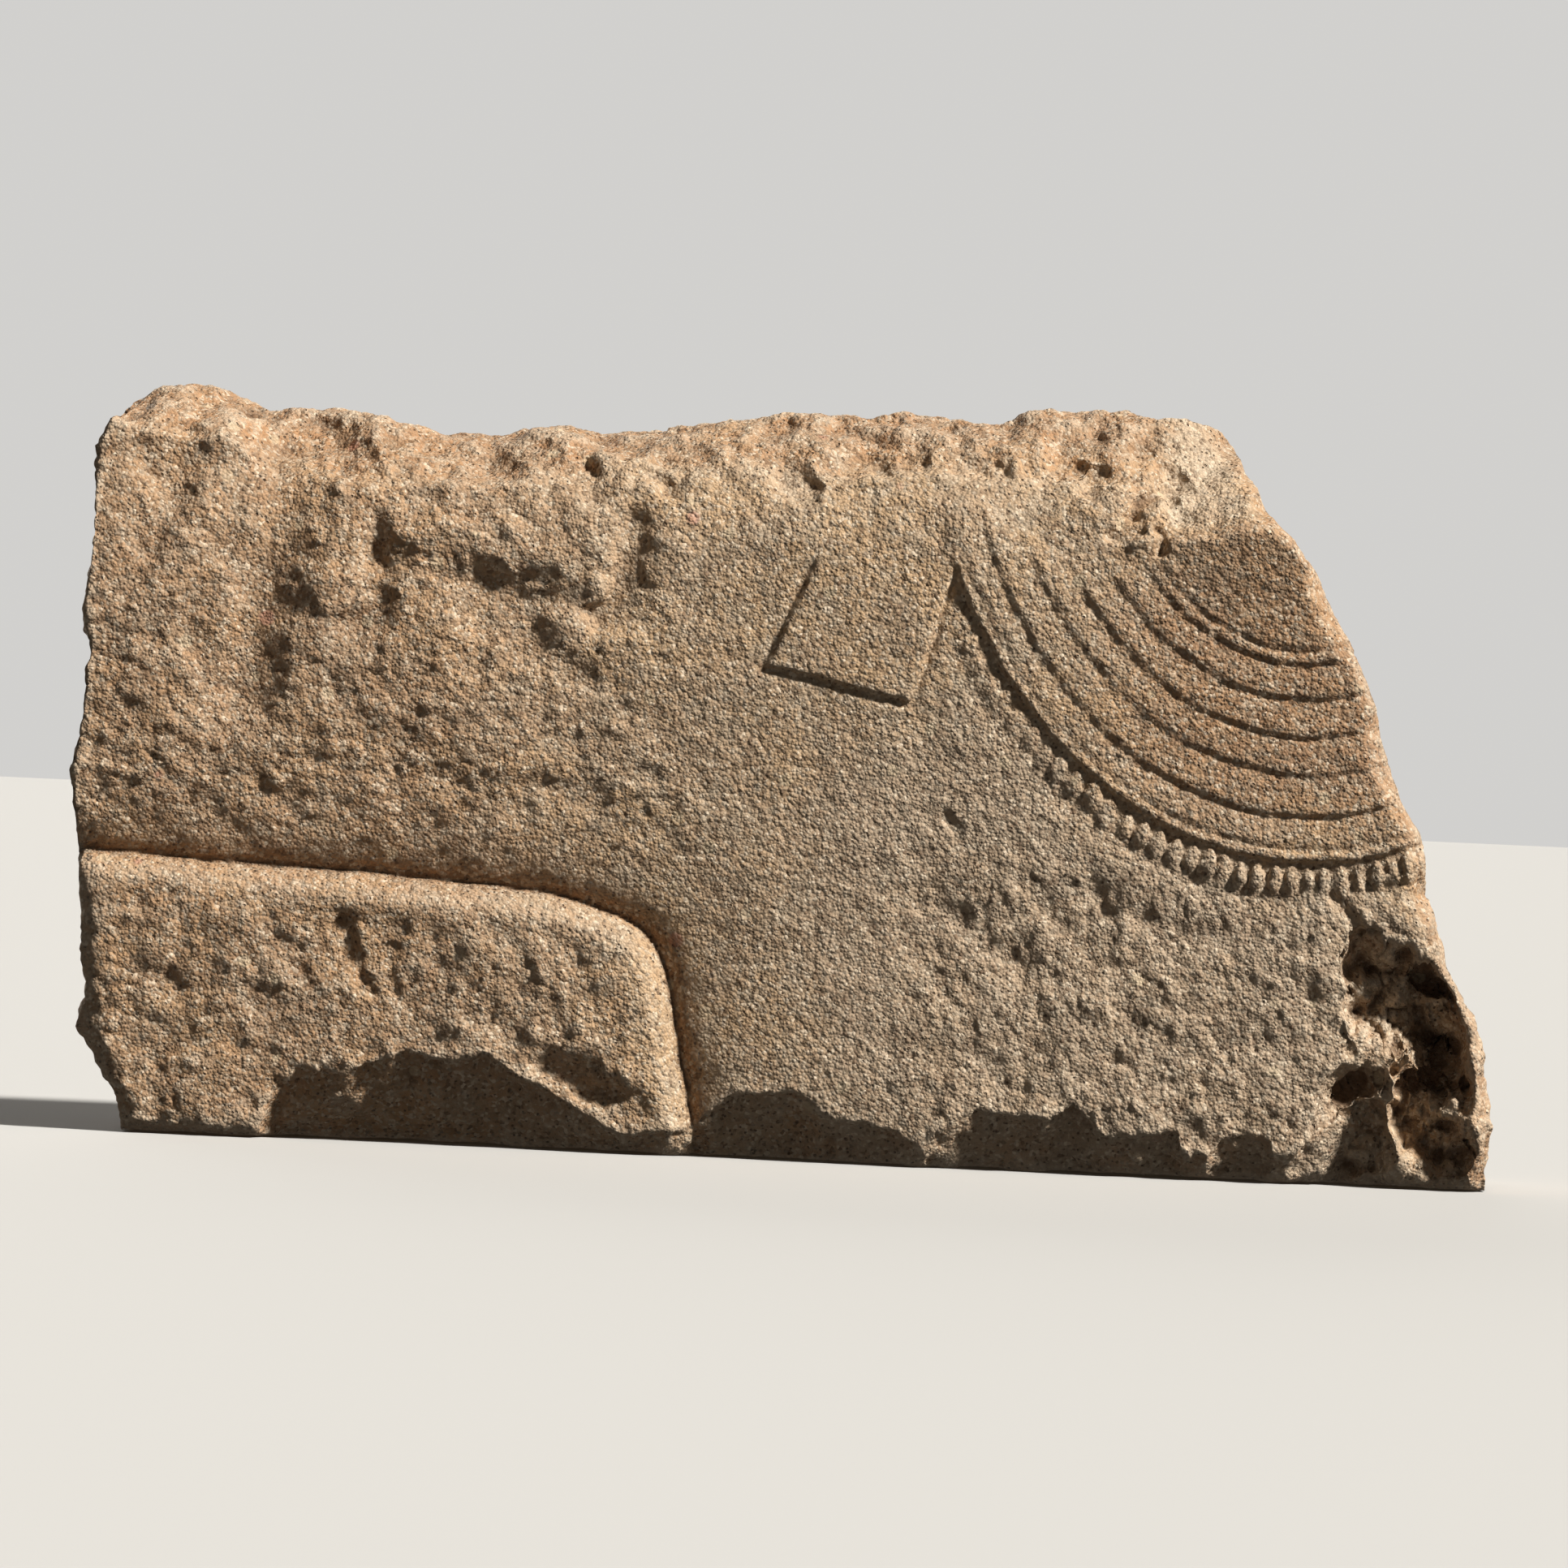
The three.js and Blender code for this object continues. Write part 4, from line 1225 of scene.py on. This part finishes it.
@dataclass
class Studio:
    """A pale floor, one raking key light, a weak fill, and the camera square to the carved face."""

    frame_px: int = 1932
    mm_per_px: float = 0.25
    lean: float = 2.6
    aim_x: float = -1.8
    aim_z: float = 116.2
    face_y: float = -48.0
    distance: float = 2.4
    sensor: float = 36.0
    floor_side: float = 60.0
    floor_drop: float = 0.0003
    floor_colour: tuple = (0.55, 0.545, 0.53, 1.0)
    floor_roughness: float = 0.95
    key_towards: tuple = (0.668, -0.326, 0.668)
    key_softness: float = 7.0
    key_strength: float = 6.0
    back_towards: tuple = (-0.3, 0.9, 0.18)
    back_softness: float = 50.0
    back_strength: float = 1.3
    lamp_colour: tuple = (1.0, 0.965, 0.91)
    sky_light: float = 0.07
    sky_shown: float = 0.8
    sky_colour: tuple = (1.0, 0.97, 0.93, 1.0)
    shown_colour: tuple = (0.80, 0.79, 0.77, 1.0)

    def camera(self) -> bpy.types.Object:
        """Sets a long lens square to the face, rolled by the carving's lean."""
        lens = bpy.data.cameras.new("camera")
        lens.sensor_width = self.sensor
        lens.lens = self.sensor * self.distance / (self.frame_px * self.mm_per_px * METRE)
        lens.clip_end = 60.0
        eye = bpy.data.objects.new("camera", lens)
        turn = Matrix.Rotation(math.pi / 2, 4, "X") @ Matrix.Rotation(math.radians(self.lean), 4, "Z")
        spot = Vector((self.aim_x * METRE, self.face_y * METRE - self.distance, self.aim_z * METRE))
        eye.matrix_world = Matrix.Translation(spot) @ turn
        bpy.context.scene.collection.objects.link(eye)
        bpy.context.scene.camera = eye
        return eye

    def lamp(self, name: str, towards: tuple, softness: float, strength: float) -> bpy.types.Object:
        """Hangs a far light towards a direction, with its apparent width in degrees as softness."""
        light = bpy.data.lights.new(name, "SUN")
        light.angle = math.radians(softness)
        light.energy = strength
        light.color = self.lamp_colour
        lamp = bpy.data.objects.new(name, light)
        away = Vector(towards).normalized()
        lamp.location = away * 3.0
        lamp.rotation_euler = (-away).to_track_quat("-Z", "Y").to_euler()
        bpy.context.scene.collection.objects.link(lamp)
        return lamp

    def floor(self) -> bpy.types.Object:
        """Lays the pale floor under the block."""
        half = self.floor_side / 2
        mesh = bpy.data.meshes.new("floor")
        drop = -self.floor_drop
        corners = [(-half, -half, drop), (half, -half, drop), (half, half, drop), (-half, half, drop)]
        mesh.from_pydata(corners, [], [(0, 1, 2, 3)])
        ground = bpy.data.objects.new("floor", mesh)
        bench = Bench("floor_paint")
        bench.shader.inputs["Base Color"].default_value = self.floor_colour
        bench.shader.inputs["Roughness"].default_value = self.floor_roughness
        mesh.materials.append(bench.material)
        bpy.context.scene.collection.objects.link(ground)
        ground.visible_diffuse = False
        return ground

    def sky(self) -> None:
        """A pale surround that lights the block weakly, so that the raking light shows the carving."""
        world = bpy.data.worlds.new("surround")
        world.use_nodes = True
        tree = world.node_tree
        tree.nodes.clear()
        out = tree.nodes.new("ShaderNodeOutputWorld")
        rays = tree.nodes.new("ShaderNodeLightPath")
        mix = tree.nodes.new("ShaderNodeMixShader")
        dim = tree.nodes.new("ShaderNodeBackground")
        shown = tree.nodes.new("ShaderNodeBackground")
        dim.inputs[0].default_value = self.sky_colour
        dim.inputs[1].default_value = self.sky_light
        shown.inputs[0].default_value = self.shown_colour
        shown.inputs[1].default_value = self.sky_shown
        tree.links.new(rays.outputs["Is Camera Ray"], mix.inputs[0])
        tree.links.new(dim.outputs[0], mix.inputs[1])
        tree.links.new(shown.outputs[0], mix.inputs[2])
        tree.links.new(mix.outputs[0], out.inputs[0])
        bpy.context.scene.world = world

    def build(self) -> None:
        """Sets up everything that isn't the stone."""
        bpy.context.scene.view_settings.view_transform = "Standard"
        self.camera()
        self.floor()
        self.sky()
        self.lamp("key", self.key_towards, self.key_softness, self.key_strength)
        self.lamp("back", self.back_towards, self.back_softness, self.back_strength)


def main() -> None:
    """Loads the frame, sets the studio, carves the stone and dresses it."""
    logging.basicConfig(level=logging.INFO, format="%(name)s: %(message)s")
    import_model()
    Studio().build()
    stone = ReliefBlock().build()
    stone.data.materials.append(Quartzite().material())
    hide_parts(NODE)
    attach(stone, "root")
    log.info("%s stands for %s", stone.name, NODE)


if __name__ == "__main__":
    main()
